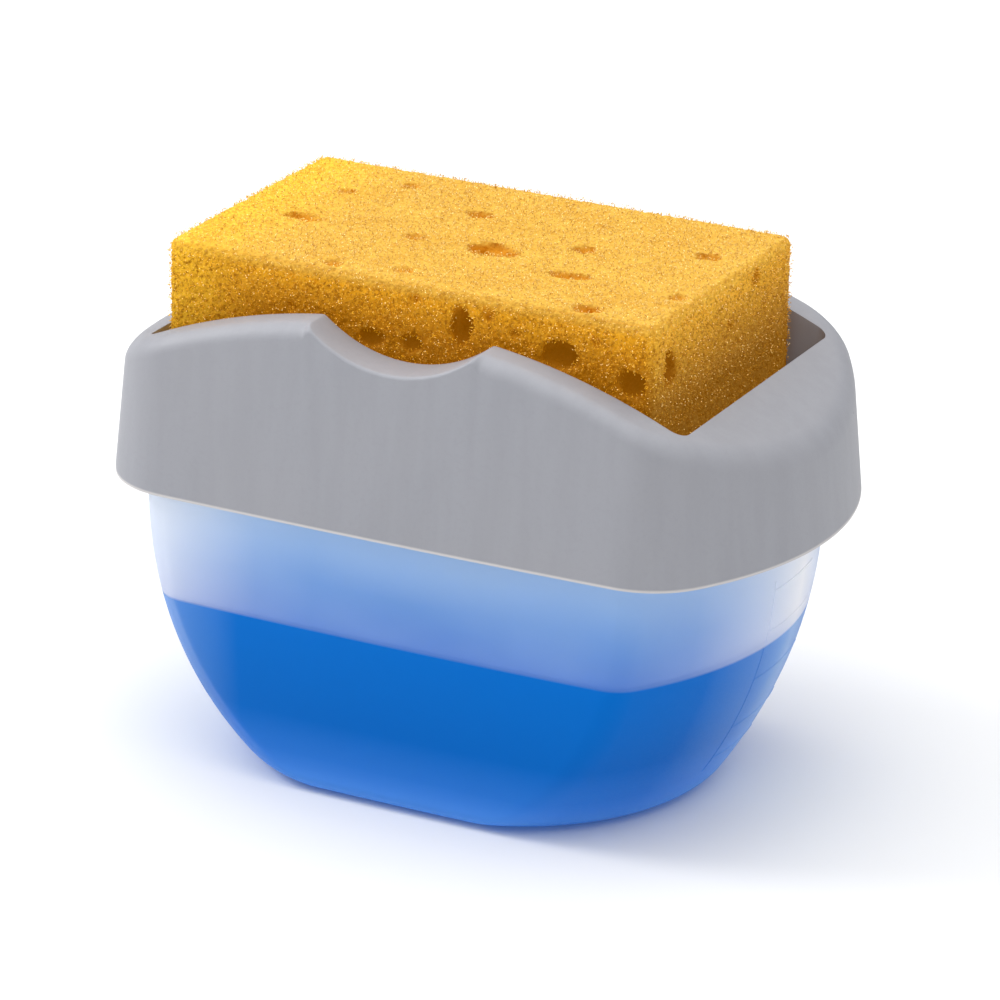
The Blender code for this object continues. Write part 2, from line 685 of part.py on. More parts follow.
def gusset_outline(near, far, foot, top):
    """A gusset's outline from mid wall to mid wall, under the deck's fillet."""
    half = COVER_WALL / 2
    bend = top - COVER_EDGE_FILLET
    return (
        (near + half, foot),
        (far - half - (foot - COVER_Z) * COVER_DRAFT, foot),
        (far - half - (bend - COVER_Z) * COVER_DRAFT, bend),
        (far - COVER_EDGE_FILLET - (bend - COVER_Z) * COVER_DRAFT, top - half),
        (near + half, top - half),
    )


def gusset(bm, points, thickness):
    """Thicken a flat outline evenly about its plane."""
    half = Vector(thickness) / 2
    near = [bm.verts.new(Vector(point) - half) for point in points]
    far = [bm.verts.new(Vector(point) + half) for point in points]
    faces = [bm.faces.new(near), bm.faces.new(list(reversed(far)))]
    for i in range(len(points)):
        j = (i + 1) % len(points)
        faces.append(bm.faces.new((near[j], near[i], far[i], far[j])))
    bmesh.ops.recalc_face_normals(bm, faces=faces)


def make_plate(material):
    """A ribbed, slotted tray with a skirt all round and a hub over the pump."""
    outline = square_outline(PLATE_HALF_LENGTH, PLATE_HALF_WIDTH, PLATE_CORNER_RADIUS)
    inset = PLATE_SKIRT_THICKNESS
    rings = [
        level_ring(outline, inset, PLATE_UNDER_Z), level_ring(outline, inset, PLATE_BOTTOM_Z),
        level_ring(outline, 0, PLATE_BOTTOM_Z), level_ring(outline, 0, PLATE_TOP_Z),
    ]
    bm = loft(rings, close_ends=True)
    item = add_object("press_plate", bm, material)
    bm = bmesh.new()
    mid_z = PLATE_TOP_Z - PLATE_THICKNESS / 2
    reach = PLATE_HALF_LENGTH - RIB_END_MARGIN
    for row in range(1, RIBS_BESIDE_MIDDLE + 1):
        for y in (row * RIB_PITCH, -row * RIB_PITCH):
            box(bm, (-reach, y - RIB_WIDTH / 2, mid_z), (reach, y + RIB_WIDTH / 2, RIB_TOP_Z))
    for side in (-1, 1):
        ends = sorted((side * (POCKET_RADIUS + HUB_POCKET_WALL + RIB_HUB_MARGIN), side * reach))
        box(bm, (ends[0], -RIB_WIDTH / 2, mid_z), (ends[1], RIB_WIDTH / 2, RIB_TOP_Z))
    boolean(item, add_object("plate_ribs", bm), "UNION")
    hub_wide = POCKET_RADIUS + HUB_POCKET_WALL
    hub = turned("plate_hub", (
        (0, mid_z), (hub_wide, mid_z), (hub_wide, POCKET_Z - HUB_SHOULDER),
        (HUB_RADIUS, POCKET_Z - HUB_SHOULDER), (HUB_RADIUS, HUB_Z), (0, HUB_Z),
    ))
    boolean(item, hub, "UNION")
    bore = turned("plate_bore", (
        (0, PLATE_TOP_Z + CUT_OVERRUN), (POCKET_RADIUS, PLATE_TOP_Z + CUT_OVERRUN),
        (POCKET_RADIUS, POCKET_Z), (HUB_PORT_RADIUS, POCKET_Z),
        (HUB_PORT_RADIUS, POCKET_Z - HUB_SHOULDER),
        (STEM_RADIUS + SEAT_GAP, POCKET_Z - HUB_SHOULDER),
        (STEM_RADIUS + SEAT_GAP, HUB_Z - CUT_OVERRUN), (0, HUB_Z - CUT_OVERRUN),
    ))
    boolean(item, bore, "DIFFERENCE")
    bm = bmesh.new()
    for row in (-2.5, -1.5, 1.5, 2.5):
        for column in range(SLOTS_IN_ROW):
            x, y = (column - (SLOTS_IN_ROW - 1) / 2) * SLOT_PITCH, row * RIB_PITCH
            box(bm, (x - SLOT_LENGTH / 2, y - SLOT_WIDTH / 2, PLATE_UNDER_Z - CUT_OVERRUN),
                (x + SLOT_LENGTH / 2, y + SLOT_WIDTH / 2, RIB_TOP_Z + CUT_OVERRUN))
    boolean(item, add_object("drain_slots", bm), "DIFFERENCE")


def make_nozzle(cap_material, valve_material):
    """The cap in the plate's hub and the slit valve that it holds down."""
    cavity = VALVE_RADIUS + SEAT_GAP
    ceiling = CAP_TOP_Z - CAP_TOP_THICKNESS
    hole = VALVE_NOSE_RADIUS + SEAT_GAP
    turned("nozzle_cap", (
        (hole, CAP_TOP_Z), (CAP_RADIUS - CAP_EDGE, CAP_TOP_Z), (CAP_RADIUS, CAP_TOP_Z - CAP_EDGE),
        (CAP_RADIUS, CAP_Z), (cavity, CAP_Z), (cavity, ceiling), (hole, ceiling),
    ), cap_material)
    flange = CAP_Z + VALVE_FLANGE_THICKNESS
    nose = CAP_TOP_Z - VALVE_NOSE_DROP
    turned("outlet_valve", (
        (0, nose), (VALVE_NOSE_RADIUS, nose - VALVE_NOSE_DROP), (VALVE_NOSE_RADIUS, flange),
        (VALVE_RADIUS, flange), (VALVE_RADIUS, CAP_Z), (VALVE_NOSE_HOLLOW, CAP_Z),
        (VALVE_NOSE_HOLLOW, flange), (0, flange),
    ), valve_material, SMALL_TURN_STEPS)


def make_pump(housing_material, nut_material, seal_material):
    """Housing, nut and gasket that hang the pump in the sump's hole."""
    taper_z = SEAT_Z + TAIL_TAPER
    turned("pump_housing", (
        (BORE_RADIUS, HOUSING_TOP_Z), (FLANGE_RADIUS, HOUSING_TOP_Z), (FLANGE_RADIUS, FLANGE_Z),
        (BARREL_NECK_RADIUS, FLANGE_Z), (BARREL_NECK_RADIUS, FLANGE_Z - BARREL_NECK_LENGTH),
        (BARREL_RADIUS, FLANGE_Z - BARREL_NECK_LENGTH), (BARREL_RADIUS, taper_z),
        (TAIL_RADIUS, SEAT_Z), (TAIL_RADIUS, TAIL_Z), (TUBE_SOCKET_RADIUS, TAIL_Z),
        (TUBE_SOCKET_RADIUS, SOCKET_Z), (SEAT_BORE_RADIUS, SOCKET_Z), (SEAT_BORE_RADIUS, SEAT_Z),
        (CHAMBER_RADIUS, SEAT_TOP_Z), (CHAMBER_RADIUS, BORE_END_Z), (BORE_RADIUS, BORE_END_Z),
    ), housing_material)
    turned("pump_gasket", (
        (PUMP_HOLE_RADIUS, PUMP_GASKET_Z + PUMP_GASKET_THICKNESS),
        (FLANGE_RADIUS, PUMP_GASKET_Z + PUMP_GASKET_THICKNESS),
        (FLANGE_RADIUS, PUMP_GASKET_Z), (PUMP_HOLE_RADIUS, PUMP_GASKET_Z),
    ), seal_material)
    inner = BARREL_NECK_RADIUS + SEAT_GAP
    outer = inner + NUT_WALL
    low, high = NUT_TOP_Z - NUT_HEIGHT, NUT_TOP_Z
    rings = [
        circle_ring(inner, low, TURN_STEPS), grip_ring(outer, low),
        grip_ring(outer, high), circle_ring(inner, high, TURN_STEPS),
    ]
    add_object("pump_nut", loft(rings, close_loop=True), nut_material)


def grip_ring(radius, z):
    """A circle with every other point drawn in, for grip."""
    ring = circle_ring(radius, z, TURN_STEPS)
    low = circle_ring(radius - NUT_GRIP_DEPTH, z, TURN_STEPS)
    return [low[i] if i % 2 else ring[i] for i in range(TURN_STEPS)]


def make_guide(material):
    """The stem guide, plugged into the housing's mouth, hollow from below."""
    plug = BORE_RADIUS - SEAT_GAP
    hole = STEM_HOLE_RADIUS
    turned("stem_guide", (
        (hole, GUIDE_TOP_Z), (GUIDE_FLANGE_RADIUS, GUIDE_TOP_Z), (GUIDE_FLANGE_RADIUS, GUIDE_Z),
        (plug, GUIDE_Z), (plug, GUIDE_END_Z), (plug - GUIDE_WALL, GUIDE_END_Z),
        (plug - GUIDE_WALL, GUIDE_Z), (hole + GUIDE_WALL, GUIDE_Z),
        (hole + GUIDE_WALL, GUIDE_END_Z), (hole, GUIDE_END_Z),
    ), material)


def make_piston(stem_material, seal_material):
    """The hollow stem and the cup seal that rests on its flange."""
    turned("piston_stem", (
        (STEM_BORE_RADIUS, STEM_TOP_Z), (STEM_RADIUS, STEM_TOP_Z),
        (STEM_RADIUS, STEM_FLANGE_TOP_Z), (STEM_FLANGE_RADIUS, STEM_FLANGE_TOP_Z),
        (STEM_FLANGE_RADIUS, STEM_Z), (STEM_BORE_RADIUS, STEM_Z),
    ), stem_material, SMALL_TURN_STEPS)
    outer = BORE_RADIUS - RUN_GAP
    inner = STEM_RADIUS + SEAT_GAP
    lip = outer - SEAL_LIP_THICKNESS
    turned("piston_seal", (
        (inner, SEAL_TOP_Z), (outer, SEAL_TOP_Z), (outer, SEAL_Z), (lip, SEAL_Z),
        (lip - SEAL_LIP_THICKNESS, SEAL_Z + SEAL_LIP_DEPTH),
        (STEM_FLANGE_RADIUS, SEAL_Z + SEAL_LIP_DEPTH), (STEM_FLANGE_RADIUS, SEAL_Z), (inner, SEAL_Z),
    ), seal_material)


def spring_point(share):
    """A point of the spring's centre line, with close end turns, at a share of its length."""
    turn = share * SPRING_TURNS
    angle = 2 * math.pi * turn
    middle_pitch = (SPRING_TOP_Z - SPRING_Z - 2 * SPRING_END_PITCH) / (SPRING_TURNS - 2)
    z = SPRING_Z + SPRING_END_PITCH * min(turn, 1)
    z += middle_pitch * min(max(turn - 1, 0), SPRING_TURNS - 2)
    z += SPRING_END_PITCH * max(turn - (SPRING_TURNS - 1), 0)
    return Vector((SPRING_MEAN_RADIUS * math.cos(angle), SPRING_MEAN_RADIUS * math.sin(angle), z))


def make_spring(material):
    """The return spring between the ball's cage and the piston."""
    count = round(SPRING_TURNS * SPRING_POINTS_PER_TURN) + 1
    points = [spring_point(i / (count - 1)) for i in range(count)]
    gaps = [
        (points[i] - points[j]).length - 2 * SPRING_WIRE_RADIUS
        for i in range(count) for j in range(i + SPRING_POINTS_PER_TURN - 2, count)
    ]
    print("least gap between the spring's turns, mm:", round(min(gaps) * 1000, 3))
    curve = bpy.data.curves.new("return_spring", "CURVE")
    curve.dimensions = "3D"
    curve.bevel_depth = SPRING_WIRE_RADIUS
    curve.bevel_resolution = 1
    curve.use_fill_caps = True
    spline = curve.splines.new("POLY")
    spline.points.add(count - 1)
    for knot, point in zip(spline.points, points):
        knot.co = (*point, 1)
    curve.materials.append(material)
    PARTS.objects.link(bpy.data.objects.new("return_spring", curve))


def make_inlet(cage_material, ball_material, tube_material):
    """The ball, the slotted cage that keeps it in and the dip tube."""
    rim = BORE_RADIUS - SEAT_GAP
    cage = turned("ball_cage", (
        (CAGE_HOLE_RADIUS, CAGE_TOP_Z), (rim, CAGE_TOP_Z), (rim, CAGE_Z),
        (CAGE_HOLE_RADIUS, CAGE_Z),
    ), cage_material, SMALL_TURN_STEPS)
    bm = bmesh.new()
    half = CAGE_SLOT_WIDTH / 2
    low, high = CAGE_Z - CUT_OVERRUN, CAGE_TOP_Z + CUT_OVERRUN
    box(bm, (-CAGE_SLOT_REACH, -half, low), (CAGE_SLOT_REACH, half, high))
    boolean(cage, add_object("cage_slot", bm), "DIFFERENCE")
    bm = bmesh.new()
    bmesh.ops.create_icosphere(bm, subdivisions=2, radius=BALL_RADIUS)
    add_object("inlet_ball", bm, ball_material, (0, 0, BALL_Z))
    bore = TUBE_RADIUS - TUBE_WALL
    rings = [
        circle_ring(bore, TUBE_TOP_Z, SMALL_TURN_STEPS),
        circle_ring(bore, TUBE_Z, SMALL_TURN_STEPS, TUBE_END_SLANT),
        circle_ring(TUBE_RADIUS, TUBE_Z, SMALL_TURN_STEPS, TUBE_END_SLANT),
        circle_ring(TUBE_RADIUS, TUBE_TOP_Z, SMALL_TURN_STEPS),
    ]
    add_object("dip_tube", loft(rings, close_loop=True), tube_material)


def make_sponge(material):
    """A foam block with its largest pores open on the faces."""
    half = Vector((SPONGE_HALF_LENGTH, SPONGE_HALF_WIDTH, SPONGE_HEIGHT / 2))
    bm = bmesh.new()
    box(bm, -half, half)
    middle = (SPONGE_SHIFT_X, 0, SPONGE_Z + SPONGE_HEIGHT / 2)
    item = add_object("sponge", bm, material, middle)
    edges = item.modifiers.new("Worn edges", "BEVEL")
    edges.width = SPONGE_EDGE_RADIUS
    edges.segments = 2
    bm = bmesh.new()
    for px, py, pz, rx, ry, rz in SPONGE_PORE_SHARES:
        pore = bmesh.ops.create_icosphere(bm, subdivisions=2, radius=SPONGE_PORE_RADIUS)
        bmesh.ops.scale(bm, vec=(rx, ry, rz), verts=pore["verts"])
        place = (px * half.x, py * half.y, pz * half.z)
        bmesh.ops.translate(bm, vec=place, verts=pore["verts"])
    pores = add_object("sponge_pores", bm)
    pores.location = middle
    boolean(item, pores, "DIFFERENCE")


clear_scene()
PARTS = new_collection("soap_dispenser_with_sponge_holder")
CUTTERS = new_collection("cutters")

frosted = new_material("frosted_plastic", (0.80, 0.86, 0.93), 0.45, alpha=0.55)
grey = new_material("grey_plastic", (0.36, 0.37, 0.41), 0.5)
pale = new_material("pale_plastic", (0.82, 0.83, 0.84), 0.4)
silicone = new_material("clear_silicone", (0.70, 0.72, 0.74), 0.6)
soap = new_material("blue_soap", (0.01, 0.12, 0.50), 0.1)
foam = new_material("amber_foam", (0.75, 0.38, 0.05), 0.9)
steel = new_material("spring_steel", (0.60, 0.61, 0.62), 0.3, metallic=1.0)
glass = new_material("glass_ball", (0.75, 0.80, 0.80), 0.1)

make_reservoir(frosted)
make_pads(silicone)
make_liquid(soap)
make_rim_gasket(silicone)
make_cover(grey)
make_plate(grey)
make_nozzle(pale, silicone)
make_pump(pale, pale, silicone)
make_guide(pale)
make_piston(pale, silicone)
make_spring(steel)
make_inlet(pale, glass, pale)
make_sponge(foam)
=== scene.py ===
"""Looks of the soap dispenser with sponge holder: shells, soap, foam, spring, light and camera.

Metres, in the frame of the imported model. The shells follow the same arcs as the model's, in finer
steps. The levels and sizes of the soap, the sponge and the spring come from its nodes.
"""
import json
import math

import bmesh
import bpy
import numpy as np
from mathutils import Matrix, Vector, kdtree, noise


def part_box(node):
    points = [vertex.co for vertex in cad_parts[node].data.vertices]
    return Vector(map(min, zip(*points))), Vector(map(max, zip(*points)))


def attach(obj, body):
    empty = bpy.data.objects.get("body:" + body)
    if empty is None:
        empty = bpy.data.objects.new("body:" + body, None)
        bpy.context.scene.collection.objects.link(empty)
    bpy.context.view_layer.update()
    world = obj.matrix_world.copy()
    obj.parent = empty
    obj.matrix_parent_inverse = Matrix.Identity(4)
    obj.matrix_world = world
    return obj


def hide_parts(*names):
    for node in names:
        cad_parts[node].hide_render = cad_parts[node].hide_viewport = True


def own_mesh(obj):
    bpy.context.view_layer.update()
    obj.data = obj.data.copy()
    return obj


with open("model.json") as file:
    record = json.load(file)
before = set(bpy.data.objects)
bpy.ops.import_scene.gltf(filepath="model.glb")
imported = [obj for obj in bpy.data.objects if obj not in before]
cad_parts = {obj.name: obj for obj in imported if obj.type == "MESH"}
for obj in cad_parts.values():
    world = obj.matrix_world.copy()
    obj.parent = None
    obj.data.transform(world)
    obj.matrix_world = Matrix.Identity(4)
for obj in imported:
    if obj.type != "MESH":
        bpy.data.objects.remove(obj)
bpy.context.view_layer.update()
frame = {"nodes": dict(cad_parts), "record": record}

MM = 0.001

# Camera, solved from the outlines in the photograph
CAMERA_AZIMUTH = math.radians(27.002)
CAMERA_ELEVATION = math.radians(21.283)
CAMERA_ROLL = math.radians(0.84)
CAMERA_DISTANCE = 1158.9 * MM
CAMERA_RIGHT = -2.66 * MM
CAMERA_UP = 6.51 * MM
CAMERA_FOCAL_PIXELS = 5466
PHOTO_WIDTH_PIXELS = 1000
SENSOR_WIDTH = 36

# Places read from the model's nodes
LIQUID_LOW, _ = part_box("liquid_soap")
SPONGE_LOW, SPONGE_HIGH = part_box("sponge")
SPRING_LOW, SPRING_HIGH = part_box("return_spring")

# Stage and light: the dome's brightness from the horizon to overhead, and the backdrop before it
FLOOR_HALF_SIZE = 6
DOME_SHARES = ((0, 0), (0.45, 0.22), (0.8, 0.8), (1, 1))
DOME_STRENGTH = 2.25
BACKDROP = (0.45, 0.45, 0.45)
KEY_PLACE = Vector((-1.3, -0.4, 1))
KEY_AIM = Vector((0, 0, 0.06))
KEY_SIZE = 0.6
KEY_POWER = 11

# Holder cover
COVER_Z = 63 * MM
COVER_HALF_LENGTH = 80 * MM
COVER_HALF_WIDTH = 48.4 * MM
COVER_SIDE_RADIUS = 2090 * MM
COVER_CORNER_RADIUS = 19 * MM
COVER_CORNER_INSET = 27.75 * MM
COVER_WALL = 2 * MM
COVER_DRAFT = math.tan(math.radians(5.4))
COVER_EDGE_FILLET = 3.6 * MM
COVER_FOOT_ROUND = 0.9 * MM
# Height of the painted highlight along the cover's foot
FOOT_HIGHLIGHT_Z = 0.7 * MM
COVER_RIM_ROUND = 0.3 * MM
SMALLEST_FILLET = 0.2 * MM
ARCH_HEIGHT = 43.8 * MM
ARCH_DROP = 23.34 * MM
NOTCH_HALF_WIDTH = 19.5 * MM
NOTCH_DEPTH = 7.1 * MM
NOTCH_EDGE_FILLET = 0.8 * MM
NOTCH_CORNER_SOFT = 0.3 * MM
NOTCH_CORNER_BLEND = 1.2 * MM
WELL_HALF_LENGTH = 62.2 * MM
WELL_HALF_WIDTH = 36 * MM
WELL_CORNER_RADIUS = 3 * MM
WELL_FLOOR_Z = 70 * MM
WELL_FLOOR_ROUND = 1.5 * MM
SUMP_RADIUS = 19 * MM
SUMP_Z = 61 * MM
PUMP_HOLE_RADIUS = 10.3 * MM
DRAFT_PASSES = 4
GUSSET_THICKNESS = 1.6 * MM
GUSSET_SIDE_PLACE = 34 * MM
GUSSET_END_PLACE = 18 * MM
GUSSET_FOOT_Z = 75.1 * MM

# Reservoir
BASE_Z = 0.8 * MM
BOWL_DEPTH = COVER_Z - BASE_Z
BOWL_WALL = 1.8 * MM
BOWL_HALF_LENGTH = 71.6 * MM
BOWL_HALF_WIDTH = 46.1 * MM
BOWL_SIDE_RADIUS = 1510 * MM
BOWL_CORNER_RADIUS = 8 * MM
BOWL_CORNER_INSET = 19.7 * MM
BASE_HALF_LENGTH = 52 * MM
BASE_HALF_WIDTH = 42.4 * MM
BASE_SIDE_RADIUS = 1400 * MM
BASE_CORNER_RADIUS = 12 * MM
BASE_CORNER_INSET = 34.87 * MM
BASE_FILLET = 3 * MM
BOWL_LENGTH_POWER = 2.28
BOWL_WIDTH_POWER = 2.05
SLOPE_STEP = 0.6 * MM
NECK_GAP = 0.4 * MM
RIM_Z = 73 * MM
LEDGE_RISE = 2.2 * MM
LEDGE_BEND_RISE = 0.8 * MM
LEDGE_BEND_SHARE = 0.12
PAD_PLACE_X = 30 * MM
PAD_PLACE_Y = 22 * MM
PAD_POCKET_RADIUS = 6.3 * MM
PAD_POCKET_DEPTH = 0.9 * MM
PAD_POCKET_SIDES = 48

# Level scale moulded on the right end of the reservoir
SCALE_LINE_Y = -7.5 * MM
SCALE_LINE_DRIFT = -3 * MM
SCALE_BAR_WIDTH = 0.4 * MM
SCALE_BAR_TOP_SHARE = 0.6
SCALE_BAR_RISE = 0.12 * MM
SCALE_BAR_SINK = 0.6 * MM
SCALE_LOW_Z = 9 * MM
SCALE_HIGH_Z = 54 * MM
SCALE_STEPS = 24
# Each tick: its level and how far it reaches behind the line
SCALE_TICKS = (
    (12.5 * MM, 20 * MM), (20 * MM, 24 * MM), (31.5 * MM, 24 * MM), (42.5 * MM, 24 * MM),
    (52 * MM, 20 * MM),
)

# Liquid soap
LIQUID_WALL_GAP = 0.5 * MM
LIQUID_Z = 39.1 * MM
MENISCUS_RISE = 0.8 * MM
MENISCUS_WIDTH = 2.5 * MM
MENISCUS_FADE = 0.3 * MM
MENISCUS_SHARES = (0.05, 0.15, 0.3, 0.5, 0.75, 1)
MENISCUS_POWER = 3
PUMP_ROOM_RADIUS = 9.3 * MM
PUMP_ROOM_DEPTH = 6.55 * MM
PUMP_ROOM_SIDES = 72
# Painted pale light in the wall: it grows towards the left end, and from the front and the back to
# one line
PALE_LIGHT_START_X = -16 * MM
PALE_LIGHT_FULL_X = -53 * MM
PALE_LIGHT_LEFT_SHARE = 0.76
PALE_LIGHT_FULL_Y = 7 * MM
PALE_LIGHT_REACH_Y = 54 * MM
# The painted glow and the lighter blue at the wall's foot fade out up to this level
FOOT_GLOW_Z = 18 * MM

# Sponge: how far the foam stands out of its solid at the low and high corner, and its surface
SPONGE_GROWTH_LOW = Vector((-2.8, 0, 0)) * MM
SPONGE_GROWTH_HIGH = Vector((0.4, 0.3, 0.4)) * MM
SPONGE_CORE_INSET = 0.5 * MM
SPONGE_EDGE_ROUND = 2 * MM
SPONGE_VOXEL = 0.55 * MM
FOAM_CELL = 1.3 * MM
FOAM_CELL_DEPTH = 0.5 * MM
FOAM_CELL_STEEPNESS = 2.2
# Painted shade on the foam down to this level; painted light over the left end and painted shade on
# the right end, over these reaches
FOAM_SHADE_Z = 92 * MM
FOAM_LEFT_LIGHT_FADE = 30 * MM
FOAM_RIGHT_SHADE_FADE = 2.5 * MM
PORE_SHADE_DEPTH = 2.4 * MM
# Struts that join scattered nodes, fewer of them in the pores and below the deck
STRUT_SEED = 11
STRUT_NODES = 30000
STRUT_REACH = 0.75 * MM
STRUT_REACH_SHARES = (-0.1, 1)
STRUT_JITTER = 0.25 * MM
STRUTS_PER_NODE = 4
STRUT_LONGEST = 0.7 * MM
STRUT_LINKS = 13000
STRUT_RADIUS = 0.11 * MM
STRUT_RADIUS_SHARES = (0.6, 1.2)
STRUT_PORE_FALL = 1.6
STRUT_SHOWN_Z = 90 * MM
STRUT_HIDDEN_SHARE = 0.35
# Cut strut ends that stick out, and short struts painted as glints
BRISTLES = 20000
BRISTLE_SHORTEST = 0.3 * MM
BRISTLE_LONGEST = 0.95 * MM
BRISTLE_LEAN = 0.8
BRISTLE_ROOT = 0.1 * MM
GLINTS = 4200
GLINT_LENGTH = 0.3 * MM
GLINT_RADIUS = 0.12 * MM
GLINT_RADIUS_SHARES = (0.5, 1.2)
# Open pores that show in the photograph, in millimetres: their middle, across and up the face or
# along X and Y on the top, then two radii and a depth
FRONT_PORES = (
    (10.5, 107, 2.5, 4.4, 4.5), (33, 104.7, 4.4, 3.3, 4.5), (49.1, 101.4, 3.3, 3, 4.5),
    (-10.4, 100.9, 2.9, 2.1, 3), (-0.9, 101.4, 2.7, 2, 3), (16.6, 110.4, 1.9, 1.7, 1.8),
    (-0.1, 111.2, 1.9, 1.5, 1.6), (26.5, 98.5, 1.8, 1.4, 1.7), (-29, 104.5, 1.5, 1.2, 1.4),
    (22.5, 107.5, 1.5, 1.2, 1.5), (41, 109, 1.6, 1.4, 1.5),
)
RIGHT_PORES = (
    (-25.4, 103.1, 2.9, 4.2, 3.2), (15.3, 110.5, 2, 2.3, 2), (3, 104, 1.5, 1.4, 1.4),
)
TOP_PORES = (
    (3.6, -5.8, 6.2, 4, 3.4), (-9.3, 13.5, 3.6, 2.1, 2.4), (20.2, 3.7, 2.4, 2.3, 2.2),
    (24.9, -12.8, 4.6, 2.3, 2.4), (44.7, 12.4, 2.6, 2.7, 2.2), (37.2, -29.3, 3.4, 2.4, 2.6),
    (-41.1, -6.2, 5.2, 2.4, 2.6), (-41.7, 13.8, 2.2, 1.9, 1.8), (-14.3, -6.2, 2.6, 1.9, 1.8),
    (-6.6, -26.3, 2.4, 1.8, 1.8), (-31.5, 23.6, 2.6, 2, 1.8), (-21.2, -29.5, 2.4, 1.8, 1.8),
    (50.2, -14, 2.2, 2, 1.8),
)
# Pores drawn for the back and the bottom, and for the left end
PORE_SEED = 5
HIDDEN_PORES_PER_FACE = 7
HIDDEN_PORE_RADII = (1.2, 2.8)
HIDDEN_PORE_SHARES = (0.25, 0.75)
LEFT_PORES = 4
LEFT_PORE_RADII = (1.2, 2.6)
LEFT_PORE_SHARES = (0.5, 0.85)
PORE_RAGGED_SHARE = 0.32
PORE_RAGGED_SCALE = 1.8
PORE_RAGGED_SHIFT = 900

# Return spring
SPRING_WIRE_RADIUS = 0.4 * MM
SPRING_MEAN_RADIUS = 6 * MM
SPRING_END_PITCH = 1.3 * MM
SPRING_TURNS = 6.5
SPRING_STEPS_PER_TURN = 28
SPRING_WIRE_SIDES = 10

# Steps of the fine outlines
END_STEPS = 22
CORNER_STEPS = 16
SIDE_STEPS = 22
NOTCH_STEPS = 18
FILLET_STEPS = 10
WELL_FLOOR_STEPS = 3
BOWL_STEPS = 30
RIM_STEPS = 4
WORN_EDGE_STEPS = 3
# How much the steps crowd towards the notch's ends, from outside and inside, and to the base
SIDE_CROWDING = 1.8
NOTCH_CROWDING = 1.5
BOWL_CROWDING = 1.35
# How far the deck's rings lie from its outer edge to the well
DECK_SHARES = (0.15, 0.4, 0.7, 1)
SHARP_ANGLE = math.radians(35)
QUARTERS = ((-1, -1), (-1, 1), (1, -1), (1, 1))


# Outlines

def arc_point(cx, cy, radius, angle):
    """A point of an arc with its outward normal."""
    nx, ny = math.cos(angle), math.sin(angle)
    return cx + radius * nx, cy + radius * ny, nx, ny


def mirrored_ring(quarter):
    """Complete a ring from its first quarter, which runs from +X to +Y."""
    half = quarter + [(-x, y, -nx, ny) for x, y, nx, ny in reversed(quarter[:-1])]
    return half + [(x, -y, nx, -ny) for x, y, nx, ny in reversed(half[1:-1])]


def side_places(start, split):
    """Places along a long side, from its corner to the middle, closer together at the split."""
    if not split:
        return [start * (1 - i / SIDE_STEPS) for i in range(SIDE_STEPS + 1)]
    reach = start - split
    outside = [split + reach * (1 - i / SIDE_STEPS) ** SIDE_CROWDING for i in range(SIDE_STEPS)]
    steps = range(NOTCH_STEPS + 1)
    return outside + [split * (1 - (i / NOTCH_STEPS) ** NOTCH_CROWDING) for i in steps]


def end_radius(length, width, corner_inset, side_radius, corner_radius):
    """The end arc that meets a corner arc whose centre lies an inset in from the end."""
    x = length - corner_inset
    y = width - side_radius + math.sqrt((side_radius - corner_radius) ** 2 - x**2)
    return (corner_inset**2 + y**2 - corner_radius**2) / (2 * (corner_inset - corner_radius))


def bowed_outline(length, width, end_arc, side_arc, corner_arc, split=0):
    """An outline of tangent arcs, as x, y and outward normal."""
    side = Vector((0, width - side_arc))
    end = Vector((length - end_arc, 0))
    to_side = side_arc - corner_arc
    to_end = end_arc - corner_arc
    span = (end - side).length
    toward = (end - side) / span
    along = (to_side**2 - to_end**2 + span**2) / (2 * span)
    across = math.sqrt(max(to_side**2 - along**2, 0))
    corner = side + toward * along + Vector((toward.y, -toward.x)) * across
    end_angle = math.atan2(corner.y - end.y, corner.x - end.x)
    side_angle = math.atan2(corner.y - side.y, corner.x - side.x)
    quarter = [
        arc_point(end.x, end.y, end_arc, end_angle * i / END_STEPS) for i in range(END_STEPS)]
    for i in range(CORNER_STEPS):
        angle = end_angle + (side_angle - end_angle) * i / CORNER_STEPS
        quarter.append(arc_point(corner.x, corner.y, corner_arc, angle))
    start = side.x + side_arc * math.cos(side_angle)
    for x in side_places(start, split):
        quarter.append(arc_point(side.x, side.y, side_arc, math.acos((x - side.x) / side_arc)))
    return mirrored_ring(quarter)


def square_outline(length, width, corner_radius, split):
    """A rounded rectangle with the same count of points as a bowed outline."""
    quarter = [(length, (width - corner_radius) * i / END_STEPS, 1, 0) for i in range(END_STEPS)]
    cx, cy = length - corner_radius, width - corner_radius
    for i in range(CORNER_STEPS):
        quarter.append(arc_point(cx, cy, corner_radius, math.pi / 2 * i / CORNER_STEPS))
    quarter += [(x, width, 0, 1) for x in side_places(cx, split)]
    return mirrored_ring(quarter)


def level_ring(outline, inset, z):
    """The outline drawn in by an inset, at one level."""
    return [(x - nx * inset, y - ny * inset, z) for x, y, nx, ny in outline]


def mix(a, b, share):
    """A value between two values."""
    return a + (b - a) * share


# Meshes

def loft(rings, close_ends=False, close_loop=False):
    """Skin a list of rings that have the same number of points."""
    bm = bmesh.new()
    rows = [[bm.verts.new(point) for point in ring] for ring in rings]
    for low, high in zip(rows, rows[1:] + rows[:1] if close_loop else rows[1:]):
        for i in range(len(low)):
            j = (i + 1) % len(low)
            bm.faces.new((low[i], low[j], high[j], high[i]))
    if close_ends:
        bm.faces.new(list(reversed(rows[0])))
        bm.faces.new(rows[-1])
    return bm


def link_object(name, data):
    """A new object in the scene."""
    item = bpy.data.objects.new(name, data)
    bpy.context.scene.collection.objects.link(item)
    return item


